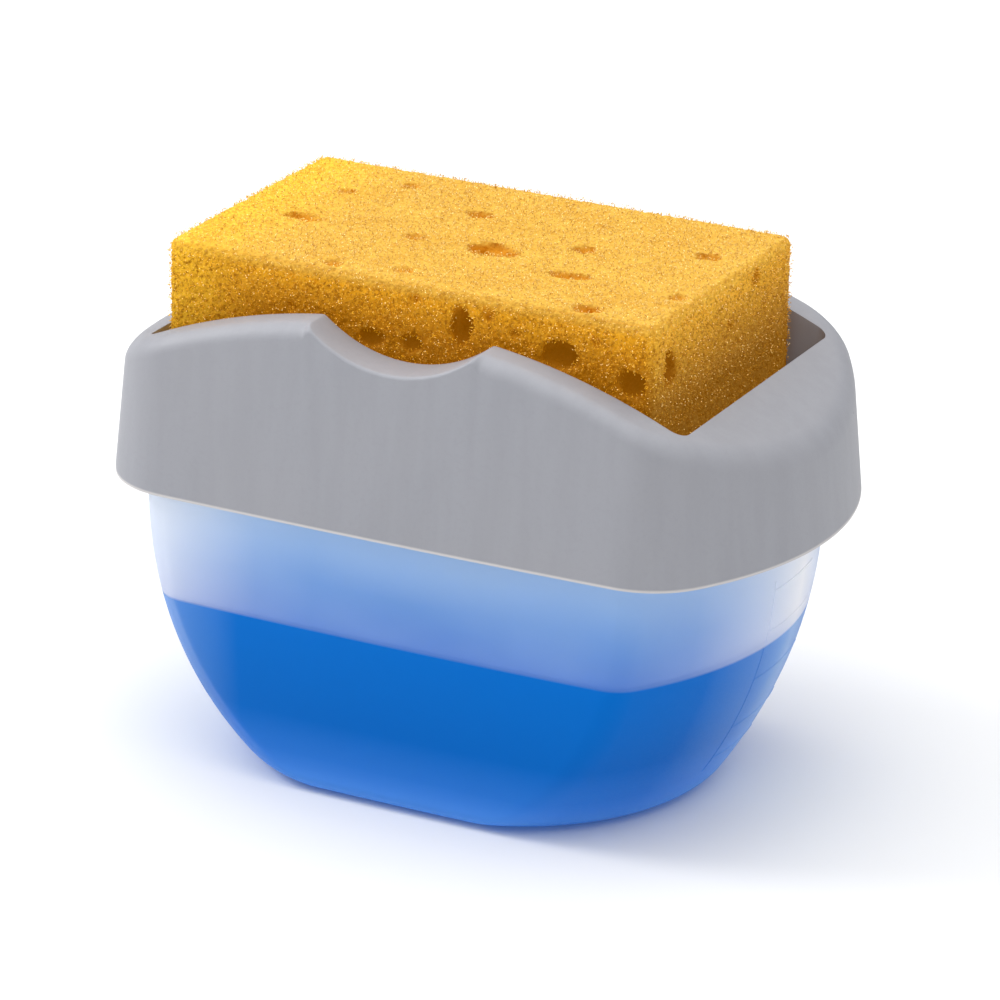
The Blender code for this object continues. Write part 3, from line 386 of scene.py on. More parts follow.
def close_tube(bm, rows):
    """Faces round rows of points and over both ends."""
    faces = [bm.faces.new(rows[0]), bm.faces.new(list(reversed(rows[-1])))]
    for near, far in zip(rows, rows[1:]):
        for i in range(len(near)):
            j = (i + 1) % len(near)
            faces.append(bm.faces.new((near[j], near[i], far[i], far[j])))
    bmesh.ops.recalc_face_normals(bm, faces=faces)


def add_drum(bm, place, radius, half_height, sides):
    """An upright drum about a place."""
    drum = bmesh.ops.create_cone(
        bm, cap_ends=True, segments=sides, radius1=radius, radius2=radius,
        depth=2 * half_height)
    bmesh.ops.translate(bm, vec=place, verts=drum["verts"])


def smooth(mesh):
    """Shade a mesh smooth but for its sharp edges."""
    mesh.shade_smooth()
    mesh.set_sharp_from_angle(angle=SHARP_ANGLE)


def new_object(name, bm, material=None):
    """Turn a bmesh into an object."""
    mesh = bpy.data.meshes.new(name)
    bm.to_mesh(mesh)
    bm.free()
    if material:
        mesh.materials.append(material)
    smooth(mesh)
    return link_object(name, mesh)


def settle(item):
    """Apply every modifier, so that the mesh is the final one."""
    bpy.context.view_layer.update()
    shape = item.evaluated_get(bpy.context.evaluated_depsgraph_get())
    mesh = bpy.data.meshes.new_from_object(shape)
    item.modifiers.clear()
    item.data = mesh
    smooth(mesh)


def boolean(item, tool, operation):
    """Cut or join a closed mesh, then drop the tool."""
    modifier = item.modifiers.new(tool.name, "BOOLEAN")
    modifier.solver = "EXACT"
    modifier.operation = operation
    modifier.object = tool
    settle(item)
    bpy.data.objects.remove(tool, do_unlink=True)


# Materials

def new_material(name):
    """A Principled material with its shader and its coordinates in metres."""
    material = bpy.data.materials.new(name)
    material.use_nodes = True
    nodes = material.node_tree.nodes
    return material, nodes["Principled BSDF"], nodes.new("ShaderNodeTexCoord").outputs["Object"]


def fill(socket, value):
    """Link an input socket to an output socket, or set its value."""
    if isinstance(value, bpy.types.NodeSocket):
        socket.id_data.links.new(value, socket)
    else:
        socket.default_value = value


def set_inputs(node, **values):
    """Link or set a node's sockets by name, with _ for a space."""
    for name, value in values.items():
        fill(node.inputs[name.replace("_", " ")], value)


def add_node(source, kind, **values):
    """A node in the same tree as a socket, with its own sockets linked or set."""
    node = source.id_data.nodes.new("ShaderNode" + kind)
    set_inputs(node, **values)
    return node


def stretch(place, scale):
    """Coordinates stretched along the axes."""
    return add_node(place, "Mapping", Scale=scale, Vector=place).outputs["Vector"]


def coordinate(place, axis):
    """One coordinate of a place."""
    return add_node(place, "SeparateXYZ", Vector=place).outputs[axis]


def noise_value(place, scale, detail=2, roughness=0.5):
    """A noise texture's value."""
    node = add_node(
        place, "TexNoise", Scale=scale, Detail=detail, Roughness=roughness, Vector=place)
    return node.outputs["Fac"]


def cell_distance(place, scale, feature="F1"):
    """How far a place is from the middle of its Voronoi cell, or from the cell's edge."""
    node = add_node(place, "TexVoronoi", Scale=scale, Vector=place)
    node.feature = feature
    return node.outputs["Distance"]


def kept_value(place, name):
    """A value that the mesh keeps per point."""
    node = add_node(place, "Attribute")
    node.attribute_name = name
    return node.outputs["Fac"]


def calculate(operation, a, b=0):
    """A sum or a comparison of a socket's value and another."""
    node = add_node(a, "Math")
    node.operation = operation
    fill(node.inputs[0], a)
    fill(node.inputs[1], b)
    return node.outputs[0]


def rise(value, near, far, most=1, curve="LINEAR"):
    """Rise from 0 at one value to the most at another, and stay level beyond them."""
    node = add_node(value, "MapRange", Value=value, From_Min=near, From_Max=far, To_Max=most)
    node.interpolation_type = curve
    return node.outputs[0]


def level_share(place, low, high):
    """How far up a point lies between two levels, from 0 to 1."""
    return rise(coordinate(place, "Z"), low, high)


def ramp(value, stops):
    """A colour ramp over a value. Each stop is a place and a colour."""
    node = add_node(value, "ValToRGB", Fac=value)
    elements = node.color_ramp.elements
    while len(elements) < len(stops):
        elements.new(0.5)
    for element, (place, color) in zip(elements, stops):
        element.position = place
        element.color = (*color, 1)
    return node.outputs["Color"]


def grey_ramp(value, *stops):
    """A ramp between grey levels."""
    return ramp(value, [(place, (level,) * 3) for place, level in stops])


def blend_colors(share, a, b):
    """Mix two colours, each a socket or a colour, by a socket's share."""
    node = add_node(share, "Mix")
    node.data_type = "RGBA"
    for index, value in ((0, share), (6, a), (7, b)):
        fill(node.inputs[index], (*value, 1) if isinstance(value, tuple) else value)
    return node.outputs[2]


def tint(color, value, stops, tone):
    """Blend a colour towards a tone, by a grey ramp over a value."""
    return blend_colors(grey_ramp(value, *stops), color, tone)


def shade(color, share):
    """A colour made darker or lighter."""
    return tuple(c * share for c in color)


def bump(shader, height, strength, distance, normal=None):
    """Bump on a shader, which may follow another bump."""
    node = add_node(height, "Bump", Strength=strength, Distance=distance, Height=height)
    if normal:
        set_inputs(node, Normal=normal)
    set_inputs(shader, Normal=node.outputs["Normal"])
    return node.outputs["Normal"]


def grey_plastic():
    """Matte grey moulded plastic: grain, upright flow streaks, mottle, specks, and a painted
    highlight as a pale line along the foot.
    """
    material, shader, place = new_material("grey_plastic_fine")
    base = (0.314, 0.320, 0.354)
    streaks = noise_value(stretch(place, (1, 1, 0.08)), 260, 3)
    color = tint(shade(base, 0.975), streaks, ((0.38, 0), (0.62, 1)), shade(base, 1.02))
    mottle = noise_value(place, 900, 3, 0.7)
    color = tint(color, mottle, ((0.35, 0.25), (0.5, 0)), shade(base, 0.9))
    clouds = noise_value(place, 38)
    color = tint(color, clouds, ((0.3, 0), (0.7, 0.35)), (0.336, 0.336, 0.364))
    specks = cell_distance(place, 62)
    color = tint(color, specks, ((0.012, 0.65), (0.022, 0)), (0.12, 0.12, 0.13))
    # Painted highlight: a pale line along the foot's rounded rim
    foot = level_share(place, COVER_Z, COVER_Z + FOOT_HIGHLIGHT_Z)
    color = tint(color, foot, ((0.5, 0.75), (1, 0)), (0.66, 0.63, 0.62))
    grain = noise_value(place, 2600, 2, 0.6)
    set_inputs(
        shader, Base_Color=color, Roughness=grey_ramp(grain, (0.3, 0.50), (0.7, 0.60)))
    bump(shader, grain, 0.25, 0.06 * MM)
    return material


def painted_pale_share(place):
    """How much painted pale light the wall takes, from 0 to 1: more towards its left end and the
    middle of its ends.
    """
    across = calculate("SUBTRACT", coordinate(place, "Y"), PALE_LIGHT_FULL_Y)
    return calculate(
        "MAXIMUM",
        rise(coordinate(place, "X"), PALE_LIGHT_START_X, PALE_LIGHT_FULL_X, PALE_LIGHT_LEFT_SHARE),
        rise(calculate("ABSOLUTE", across), PALE_LIGHT_REACH_Y, 0))


def frosted_plastic():
    """Frosted plastic: deep blue where the soap lies against it; where dry, a painted glow of the
    soap that pales upward. Painted pale light towards its left end and the middle of its ends, and
    a painted glow over the whole wall, brightest at its foot.
    """
    material, shader, place = new_material("frosted_plastic_fine")
    dry = level_share(place, LIQUID_Z - MENISCUS_FADE, LIQUID_Z + MENISCUS_FADE)
    painted_pale = painted_pale_share(place)
    pale = grey_ramp(painted_pale, (0, 0), (0.3, 0.12), (0.65, 0.55), (1, 1))
    # Painted glow of the soap seen through the frost: deep blue near the soap, paler up to the
    # cover, with cloudy veils
    frost_and_painted_glow = ramp(level_share(place, LIQUID_Z, COVER_Z), [
        (0, (0.10, 0.24, 0.64)), (0.45, (0.21, 0.39, 0.72)), (1, (0.46, 0.64, 0.85))])
    veil = noise_value(stretch(place, (1, 1, 2)), 26)
    frost_and_painted_glow = tint(frost_and_painted_glow, veil, ((0.35, 0), (0.65, 0.2)), (0.50, 0.66, 0.88))
    frost_and_painted_glow = blend_colors(pale, frost_and_painted_glow, (0.88, 0.87, 0.86))
    wet = ramp(level_share(place, 0, LIQUID_Z), [
        (0.5, (0, 0.143, 0.545)), (1, (0, 0.165, 0.61))])
    # Painted pale light on the wet wall as well
    wet = tint(wet, painted_pale, ((0.4, 0), (0.75, 0.3), (1, 0.75)), (0.42, 0.66, 0.96))
    # Painted light at the foot: the wet blue lighter and the glow brighter low down
    foot = level_share(place, 0, FOOT_GLOW_Z)
    wet = tint(wet, foot, ((0, 0.8), (0.5, 0.2), (1, 0)), (0.14, 0.36, 0.85))
    # More opaque where the painted pale light lies
    cover = grey_ramp(pale, (0, 0.7), (1, 0.92))
    glow = ramp(foot, [
        (0, (0.10, 0.42, 1)), (0.35, (0.03, 0.20, 0.7)), (1, (0, 0.06, 0.30))])
    grain = noise_value(place, 1900, 3, 0.6)
    set_inputs(
        shader, Base_Color=blend_colors(dry, wet, frost_and_painted_glow),
        Alpha=blend_colors(dry, (0.72, 0.72, 0.72), cover),
        Transmission_Weight=grey_ramp(dry, (0, 0), (1, 0.4)),
        Emission_Color=blend_colors(dry, glow, frost_and_painted_glow), Emission_Strength=0.17,
        Roughness=grey_ramp(grain, (0.3, 0.45), (0.7, 0.55)), IOR=1.5,
        Specular_Tint=(0.03, 0.35, 1, 1))
    bump(shader, grain, 0.12, 0.05 * MM)
    return material


def blue_soap():
    """Deep blue liquid soap that glows with painted light, with painted shade towards the bottom
    and a paler painted light on its top and at the wall's film.
    """
    material, shader, place = new_material("blue_soap_fine")
    # Painted shade: darker towards the bottom
    color = ramp(level_share(place, LIQUID_LOW.z, LIQUID_Z), [
        (0, (0, 0.12, 0.50)), (0.5, (0, 0.13, 0.52)), (1, (0, 0.14, 0.56))])
    swirl = noise_value(place, 45)
    color = tint(color, swirl, ((0.3, 0), (0.7, 0.25)), (0, 0.15, 0.58))
    # Painted light: paler on the top and up the wall's film
    top = level_share(place, LIQUID_Z - MENISCUS_FADE, LIQUID_Z)
    color = blend_colors(top, color, (0.08, 0.26, 0.70))
    set_inputs(
        shader, Base_Color=color, Emission_Color=color, Emission_Strength=0.25, Roughness=0.25,
        Specular_IOR_Level=0.05)
    bump(shader, noise_value(place, 120, 1), 0.1, 0.3 * MM)
    return material


def foam_color(place, stops):
    """Foam with painted light and shade: brighter and paler towards the top and darker below,
    yellower at its left end from painted light, and duller at its right from painted shade.
    """
    up = level_share(place, FOAM_SHADE_Z, SPONGE_HIGH.z)
    color = ramp(up, stops)
    # Painted shade on the right end: duller, and darker low down
    right_end_shade = ramp(up, [
        (0.2, (0.30, 0.22, 0.05)), (0.42, (0.52, 0.36, 0.05)), (0.62, (0.80, 0.53, 0.066)),
        (0.85, (0.97, 0.63, 0.08))])
    across = coordinate(place, "X")
    left, right = SPONGE_LOW.x + SPONGE_GROWTH_LOW.x, SPONGE_HIGH.x
    for near, far, most, tone in (
            (left + FOAM_LEFT_LIGHT_FADE, left, 0.65, (1, 0.65, 0.04)),
            (right - FOAM_RIGHT_SHADE_FADE, right, 0.5, right_end_shade)):
        share = rise(across, near, far, most, "SMOOTHSTEP")
        color = blend_colors(share, color, tone)
    return color


def shade_pores(place, color):
    """Darken a colour where the mesh says that it lies down in a pore, less so near the top."""
    deep = ramp(level_share(place, FOAM_SHADE_Z, SPONGE_HIGH.z), [
        (0, (0.15, 0.05, 0.001)), (0.72, (0.22, 0.075, 0.001)), (0.92, (0.55, 0.22, 0.01))])
    return tint(color, kept_value(place, "pore_depth"), ((0.12, 0), (0.6, 0.92)), deep)


def amber_foam():
    """The foam below its struts: a web of cells, clouds, light grit and dark specks, with a painted
    orange glow.
    """
    material, shader, place = new_material("amber_foam_fine")
    color = foam_color(place, [
        (0, (0.20, 0.07, 0.002)), (0.5, (0.38, 0.145, 0.002)), (0.85, (0.78, 0.38, 0.015)),
        (0.97, (0.66, 0.43, 0.075))])
    web = cell_distance(place, 900, "DISTANCE_TO_EDGE")
    color = tint(color, web, ((0.05, 0), (0.4, 0.5)), (0.26, 0.09, 0.005))
    clouds = noise_value(place, 70, 3)
    color = tint(color, clouds, ((0.45, 0), (0.75, 0.35)), (0.45, 0.20, 0.01))
    grit = noise_value(place, 1800, 2, 0.7)
    color = tint(color, grit, ((0.55, 0), (0.75, 0.6)), (0.90, 0.56, 0.10))
    specks = noise_value(place, 1250, 2, 0.7)
    # The dark specks also take painted shade low down and painted light near the top
    dark = ramp(level_share(place, FOAM_SHADE_Z, SPONGE_HIGH.z), [
        (0, (0.13, 0.045, 0.001)), (0.85, (0.20, 0.07, 0.002)), (0.97, (0.60, 0.33, 0.04))])
    color = tint(color, specks, ((0.34, 0.8), (0.5, 0)), dark)
    set_inputs(
        shader, Base_Color=shade_pores(place, color), Roughness=0.7,
        Specular_IOR_Level=0.1, Emission_Color=(1, 0.34, 0, 1), Emission_Strength=0.14)
    normal = bump(shader, web, 0.5, 0.5 * MM)
    bump(shader, grit, 0.5, 0.4 * MM, normal)
    return material


def amber_struts():
    """The foam's struts, each of its own tone, with the foam's painted light and shade and a
    painted orange glow.
    """
    material, shader, place = new_material("amber_strut_fine")
    color = foam_color(place, [
        (0, (0.66, 0.30, 0.008)), (0.5, (0.94, 0.49, 0.015)), (0.85, (1, 0.66, 0.07)),
        (0.97, (0.77, 0.575, 0.185))])
    tone = kept_value(place, "strut_tone")
    color = tint(color, tone, ((0, 0.9), (0.45, 0)), (0.30, 0.11, 0.003))
    color = tint(color, tone, ((0.75, 0), (1, 0.6)), (1, 0.80, 0.34))
    grain = noise_value(place, 1500)
    set_inputs(
        shader, Base_Color=shade_pores(place, color),
        Roughness=grey_ramp(grain, (0.3, 0.3), (0.7, 0.5)), Specular_IOR_Level=0.3,
        Emission_Color=(1, 0.38, 0, 1), Emission_Strength=0.17)
    bump(shader, grain, 0.2, 0.05 * MM)
    return material


def amber_glints():
    """Short struts painted as glints, pale and glowing with painted light."""
    material, shader, place = new_material("amber_glint_fine")
    grain = noise_value(place, 700)
    color = ramp(grain, [(0.35, (1, 0.76, 0.28)), (0.65, (1, 0.92, 0.60))])
    set_inputs(
        shader, Base_Color=shade_pores(place, color),
        Roughness=grey_ramp(grain, (0.3, 0.15), (0.7, 0.3)),
        Emission_Color=(1, 0.68, 0.22, 1), Emission_Strength=0.6)
    bump(shader, grain, 0.1, 0.03 * MM)
    return material


def plain_plastic(name, color, roughness, scale=1500, metallic=0):
    """Moulded plastic, rubber or metal with a fine grain and slight clouding."""
    material, shader, place = new_material(name)
    clouds = noise_value(place, 90)
    color = tint(shade(color, 0.95), clouds, ((0.35, 0), (0.65, 1)), color)
    grain = noise_value(place, scale, 2, 0.6)
    low, high = roughness * 0.85, min(roughness * 1.15, 1)
    set_inputs(
        shader, Base_Color=color, Metallic=metallic,
        Roughness=grey_ramp(grain, (0.3, low), (0.7, high)))
    bump(shader, grain, 0.15, 0.04 * MM)
    return material


# Holder cover

def arch_height(x):
    """The level of the arch without its notches."""
    radius = (COVER_HALF_LENGTH**2 + ARCH_DROP**2) / (2 * ARCH_DROP)
    return COVER_Z + ARCH_HEIGHT - radius + math.sqrt(radius**2 - x**2)


def deck_height(x):
    """The level of the cover's deck: a shallow arch, dipped by the finger notches."""
    radius = (NOTCH_HALF_WIDTH**2 + NOTCH_DEPTH**2) / (2 * NOTCH_DEPTH)
    lowest = arch_height(NOTCH_HALF_WIDTH) - NOTCH_DEPTH
    if abs(x) < radius:
        notch = lowest + radius - math.sqrt(radius**2 - x**2)
    else:
        notch = lowest + radius
    below = arch_height(x) - notch
    return arch_height(x) - (below + math.sqrt(below**2 + NOTCH_CORNER_SOFT**2)) / 2


def edge_fillet(x):
    """The radius of the deck's outer edge, which is tighter in the notch."""
    share = (abs(x) - NOTCH_HALF_WIDTH) / NOTCH_CORNER_BLEND
    share = min(max(share / 2 + 0.5, 0), 1)
    return mix(NOTCH_EDGE_FILLET, COVER_EDGE_FILLET, share * share * (3 - 2 * share))


def fillet_ring(outline, angle, depth):
    """A ring round the fillet of the deck's outer edge, a depth in the wall, with the draft."""
    ring = []
    for x, y, nx, ny in outline:
        radius = max(edge_fillet(x) - depth, SMALLEST_FILLET)
        draw_in = depth + radius * (1 - math.cos(angle))
        below = depth + radius * (1 - math.sin(angle))
        lean = 0
        for _ in range(DRAFT_PASSES):
            z = deck_height(x - nx * (lean + draw_in)) - below
            lean = (z - COVER_Z) * COVER_DRAFT
        ring.append((x - nx * (lean + draw_in), y - ny * (lean + draw_in), z))
    return ring


def cover_end_radius():
    """The radius of the cover's lower outline at its ends."""
    return end_radius(
        COVER_HALF_LENGTH, COVER_HALF_WIDTH, COVER_CORNER_INSET, COVER_SIDE_RADIUS,
        COVER_CORNER_RADIUS)


def cover_outline(split=0):
    """The cover's lower outline."""
    return bowed_outline(
        COVER_HALF_LENGTH, COVER_HALF_WIDTH, cover_end_radius(), COVER_SIDE_RADIUS,
        COVER_CORNER_RADIUS, split)


def sump_ring(well, radius, z):
    """A round ring whose points lie across from those of the well's outline."""
    angles = [math.atan2(y / WELL_HALF_WIDTH, x / WELL_HALF_LENGTH) for x, y, _, _ in well]
    return [(radius * math.cos(angle), radius * math.sin(angle), z) for angle in angles]


def cover_skin(outside, well, depth):
    """One side of the cover's wall, from its foot over the deck and down to the pump's hole."""
    rings = [level_ring(outside, depth, COVER_Z)]
    for i in range(FILLET_STEPS + 1):
        rings.append(fillet_ring(outside, math.pi / 2 * i / FILLET_STEPS, depth))
    deck_edge = rings[-1]
    for share in DECK_SHARES:
        ring = []
        for a, b in zip(deck_edge, level_ring(well, -depth, 0)):
            x, y = mix(a[0], b[0], share), mix(a[1], b[1], share)
            ring.append((x, y, deck_height(x) - depth))
        rings.append(ring)
    for i in range(WELL_FLOOR_STEPS + 1):
        angle = math.pi / 2 * i / WELL_FLOOR_STEPS
        inset = WELL_FLOOR_ROUND - (WELL_FLOOR_ROUND + depth) * math.cos(angle)
        drop = WELL_FLOOR_ROUND - (WELL_FLOOR_ROUND + depth) * math.sin(angle)
        rings.append(level_ring(well, inset, WELL_FLOOR_Z + drop))
    sump = SUMP_RADIUS + depth
    for radius, z in ((sump, WELL_FLOOR_Z), (sump, SUMP_Z), (PUMP_HOLE_RADIUS, SUMP_Z)):
        rings.append(sump_ring(well, radius, z - depth))
    return rings


def make_cover(material):
    """Skirt, arched deck, well, floor and sump as one moulded wall with its gussets."""
    outside = cover_outline(NOTCH_HALF_WIDTH)
    well = square_outline(WELL_HALF_LENGTH, WELL_HALF_WIDTH, WELL_CORNER_RADIUS, NOTCH_HALF_WIDTH)
    rings = cover_skin(outside, well, 0)
    rings += reversed(cover_skin(outside, well, COVER_WALL))
    bm = loft(rings, close_loop=True)
    count = len(well)
    well_row = FILLET_STEPS + 1 + len(DECK_SHARES)
    weights = bm.edges.layers.float.new("bevel_weight_edge")
    bm.verts.ensure_lookup_table()
    for row, weight in (
            (0, 1), (len(rings) - 1, 1), (well_row, COVER_RIM_ROUND / COVER_FOOT_ROUND)):
        verts = bm.verts[row * count:(row + 1) * count]
        for i in range(count):
            bm.edges.get((verts[i], verts[(i + 1) % count]))[weights] = weight
    item = new_object("holder_cover_fine", bm, material)
    rounds = item.modifiers.new("Rounded rims", "BEVEL")
    rounds.limit_method = "WEIGHT"
    rounds.width = COVER_FOOT_ROUND
    rounds.segments = RIM_STEPS
    settle(item)
    boolean(item, make_gussets(), "UNION")
    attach(item, "cover")
    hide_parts("holder_cover")


def make_gussets():
    """Upright ribs between the skirt and the well."""
    bm = bmesh.new()
    ends = cover_end_radius()
    for sx, sy in QUARTERS:
        x, y = sx * GUSSET_SIDE_PLACE, sy * GUSSET_END_PLACE
        reach = COVER_HALF_WIDTH - COVER_SIDE_RADIUS + math.sqrt(COVER_SIDE_RADIUS**2 - x**2)
        outline = gusset_outline(WELL_HALF_WIDTH, reach, arch_height(x))
        gusset(bm, [(x, sy * along, z) for along, z in outline], (GUSSET_THICKNESS, 0, 0))
        reach = COVER_HALF_LENGTH - ends + math.sqrt(ends**2 - y**2)
        outline = gusset_outline(WELL_HALF_LENGTH, reach, arch_height(reach))
        gusset(bm, [(sx * along, y, z) for along, z in outline], (0, GUSSET_THICKNESS, 0))
    return new_object("gussets", bm)


def gusset_outline(near, far, top):
    """A gusset's outline from mid wall to mid wall, under the deck's fillet."""
    half = COVER_WALL / 2
    bend = top - COVER_EDGE_FILLET
    return (
        (near + half, GUSSET_FOOT_Z),
        (far - half - (GUSSET_FOOT_Z - COVER_Z) * COVER_DRAFT, GUSSET_FOOT_Z),
        (far - half - (bend - COVER_Z) * COVER_DRAFT, bend),
        (far - COVER_EDGE_FILLET - (bend - COVER_Z) * COVER_DRAFT, top - half),
        (near + half, top - half),
    )


def gusset(bm, points, thickness):
    """Thicken a flat outline evenly about its plane."""
    half = Vector(thickness) / 2
    near = [bm.verts.new(Vector(point) - half) for point in points]
    far = [bm.verts.new(Vector(point) + half) for point in points]
    close_tube(bm, (near, far))


# Reservoir and soap

def bowl_outline(z):
    """The reservoir's outside at a level: rounder and shorter towards the base."""
    down = (COVER_Z - z) / BOWL_DEPTH
    long_fall = down**BOWL_LENGTH_POWER
    wide_fall = down**BOWL_WIDTH_POWER
    top_arc = end_radius(
        BOWL_HALF_LENGTH, BOWL_HALF_WIDTH, BOWL_CORNER_INSET, BOWL_SIDE_RADIUS,
        BOWL_CORNER_RADIUS)
    base_arc = end_radius(
        BASE_HALF_LENGTH, BASE_HALF_WIDTH, BASE_CORNER_INSET, BASE_SIDE_RADIUS,
        BASE_CORNER_RADIUS)
    return bowed_outline(
        mix(BOWL_HALF_LENGTH, BASE_HALF_LENGTH, long_fall),
        mix(BOWL_HALF_WIDTH, BASE_HALF_WIDTH, wide_fall),
        mix(top_arc, base_arc, long_fall),
        mix(BOWL_SIDE_RADIUS, BASE_SIDE_RADIUS, wide_fall),
        mix(BOWL_CORNER_RADIUS, BASE_CORNER_RADIUS, wide_fall))


def bowl_ring(z, inset, draw_in=0):
    """A ring an inset inside the bowl's wall, measured square to the wall, then drawn in more."""
    ring = []
    for (x, y, nx, ny), (x2, y2, _, _) in zip(bowl_outline(z), bowl_outline(z - SLOPE_STEP)):
        slope = ((x - x2) * nx + (y - y2) * ny) / SLOPE_STEP
        move = inset * math.hypot(1, slope) + draw_in
        ring.append((x - nx * move, y - ny * move, z))
    return ring


def bowl_rings(inset, top_z):
    """Rings from the flat of the base, round its fillet and up to a level."""
    floor_z = BASE_Z + inset
    rings = []
    for i in range(FILLET_STEPS):
        angle = math.pi / 2 * i / FILLET_STEPS
        z = floor_z + BASE_FILLET * (1 - math.cos(angle))
        rings.append(bowl_ring(z, inset, BASE_FILLET * (1 - math.sin(angle))))
    for i in range(BOWL_STEPS + 1):
        z = mix(floor_z + BASE_FILLET, top_z, (i / BOWL_STEPS) ** BOWL_CROWDING)
        rings.append(bowl_ring(z, inset))
    return rings


def neck_ring(z):
    """A ring that follows the cover's skirt on its inside, at one level."""
    inset = COVER_WALL + NECK_GAP + (z - COVER_Z) * COVER_DRAFT
    return level_ring(cover_outline(), inset, z)


def make_reservoir(material):
    """The bowl, the ledge under the cover and the neck up to the rim, as one frosted wall."""
    rings = bowl_rings(0, COVER_Z)
    ledge = neck_ring(COVER_Z + LEDGE_RISE)
    bend = []
    for a, b in zip(rings[-1], ledge):
        x, y = mix(a[0], b[0], LEDGE_BEND_SHARE), mix(a[1], b[1], LEDGE_BEND_SHARE)
        bend.append((x, y, COVER_Z + LEDGE_BEND_RISE))
    rings += [bend, ledge, neck_ring(RIM_Z)]
    bm = loft(rings)
    bm.verts.ensure_lookup_table()
    bm.faces.new([bm.verts[i] for i in reversed(range(len(rings[0])))])
    item = new_object("reservoir_fine", bm, material)
    wall = item.modifiers.new("Wall", "SOLIDIFY")
    wall.thickness = BOWL_WALL
    wall.offset = -1
    wall.use_even_offset = True
    settle(item)
    bm = bmesh.new()
    for sx, sy in QUARTERS:
        place = (sx * PAD_PLACE_X, sy * PAD_PLACE_Y, BASE_Z)
        add_drum(bm, place, PAD_POCKET_RADIUS, PAD_POCKET_DEPTH, PAD_POCKET_SIDES)
    boolean(item, new_object("pad_pockets", bm), "DIFFERENCE")
    add_level_scale(item)
    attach(item, "reservoir")
    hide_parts("reservoir")


def wall_place(y, z):
    """A point of the reservoir's right end at a place across and a level, with the way out."""
    ring = bowl_outline(z)[:END_STEPS + CORNER_STEPS]
    side = abs(y)
    for (x, y1, nx, ny), (x2, y2, nx2, ny2) in zip(ring, ring[1:]):
        if y1 <= side <= y2:
            share = (side - y1) / (y2 - y1)
            out = Vector((mix(nx, nx2, share), math.copysign(mix(ny, ny2, share), y), 0))
            return Vector((mix(x, x2, share), y, z)), out.normalized()
    raise ValueError("no such place on the end")


def bar(bm, places, across):
    """A raised bar along points of the wall, sunk into it and narrower at its top."""
    rows = []
    half = Vector(across) * SCALE_BAR_WIDTH / 2
    top_half = half * SCALE_BAR_TOP_SHARE
    for place, out in places:
        sink, lift = out * SCALE_BAR_SINK, out * SCALE_BAR_RISE
        corners = (
            place - half - sink, place + half - sink, place + top_half + lift,
            place - top_half + lift)
        rows.append([bm.verts.new(corner) for corner in corners])
    close_tube(bm, rows)


def scale_line(z):
    """How far across the upright line of the scale lies at a level."""
    return SCALE_LINE_Y + SCALE_LINE_DRIFT * ((SCALE_HIGH_Z - z) / SCALE_HIGH_Z) ** 2


def add_level_scale(item):
    """The moulded scale on the right end: an upright line with ticks."""
    bm = bmesh.new()
    levels = [mix(SCALE_LOW_Z, SCALE_HIGH_Z, i / SCALE_STEPS) for i in range(SCALE_STEPS + 1)]
    bar(bm, [wall_place(scale_line(z), z) for z in levels], (0, 1, 0))
    boolean(item, new_object("scale_line", bm), "UNION")
    bm = bmesh.new()
    for level, reach in SCALE_TICKS:
        start = scale_line(level)
        across = [start + reach * i / SCALE_STEPS for i in range(SCALE_STEPS + 1)]
        bar(bm, [wall_place(y, level) for y in across], (0, 0, 1))
    boolean(item, new_object("scale_ticks", bm), "UNION")


def make_soap(material):
    """The soap in the bowl, with the film that climbs the wall, clear of the pump."""
    inset = BOWL_WALL + LIQUID_WALL_GAP
    rings = bowl_rings(inset, LIQUID_Z)
    for share in MENISCUS_SHARES:
        climb = MENISCUS_RISE * (1 - share) ** MENISCUS_POWER
        ring = bowl_ring(LIQUID_Z, inset, MENISCUS_WIDTH * share)
        rings.append([(x, y, z + climb) for x, y, z in ring])
    item = new_object("liquid_soap_fine", loft(rings, close_ends=True), material)
    bm = bmesh.new()
    add_drum(bm, (0, 0, LIQUID_Z), PUMP_ROOM_RADIUS, PUMP_ROOM_DEPTH, PUMP_ROOM_SIDES)
    boolean(item, new_object("pump_room", bm), "DIFFERENCE")
    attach(item, "reservoir")
    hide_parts("liquid_soap")


# Sponge

def pore_places():
    """Middle and three radii of every pore. The back, the bottom and the left end draw theirs."""
    low, high = SPONGE_LOW, SPONGE_HIGH
    pores = []
    for x, z, rx, rz, depth in FRONT_PORES:
        pores.append(((x * MM, low.y, z * MM), (rx * MM, depth * MM, rz * MM)))
    for y, z, ry, rz, depth in RIGHT_PORES:
        pores.append(((high.x, y * MM, z * MM), (depth * MM, ry * MM, rz * MM)))
    for x, y, rx, ry, depth in TOP_PORES:
        pores.append(((x * MM, y * MM, high.z), (rx * MM, ry * MM, depth * MM)))
    draw = np.random.default_rng(PORE_SEED)
    for i in range(HIDDEN_PORES_PER_FACE):
        x = mix(low.x, high.x, (i + 0.3 + 0.4 * draw.random()) / HIDDEN_PORES_PER_FACE)
        for axis, level in ((1, high.y), (2, low.z)):
            radii = [mix(*HIDDEN_PORE_RADII, draw.random()) * MM for _ in range(3)]
            across = mix(*HIDDEN_PORE_SHARES, draw.random())
            other = mix(low[3 - axis], high[3 - axis], across)
            place = (x, level, other) if axis == 1 else (x, other, level)
            pores.append((place, radii))
    for i in range(LEFT_PORES):
        y = mix(low.y, high.y, (i + 0.35 + 0.3 * draw.random()) / LEFT_PORES)
        z = mix(low.z, high.z, mix(*LEFT_PORE_SHARES, draw.random()))
        radii = [mix(*LEFT_PORE_RADII, draw.random()) * MM for _ in range(3)]
        pores.append(((low.x, y, z), radii))
    return pores


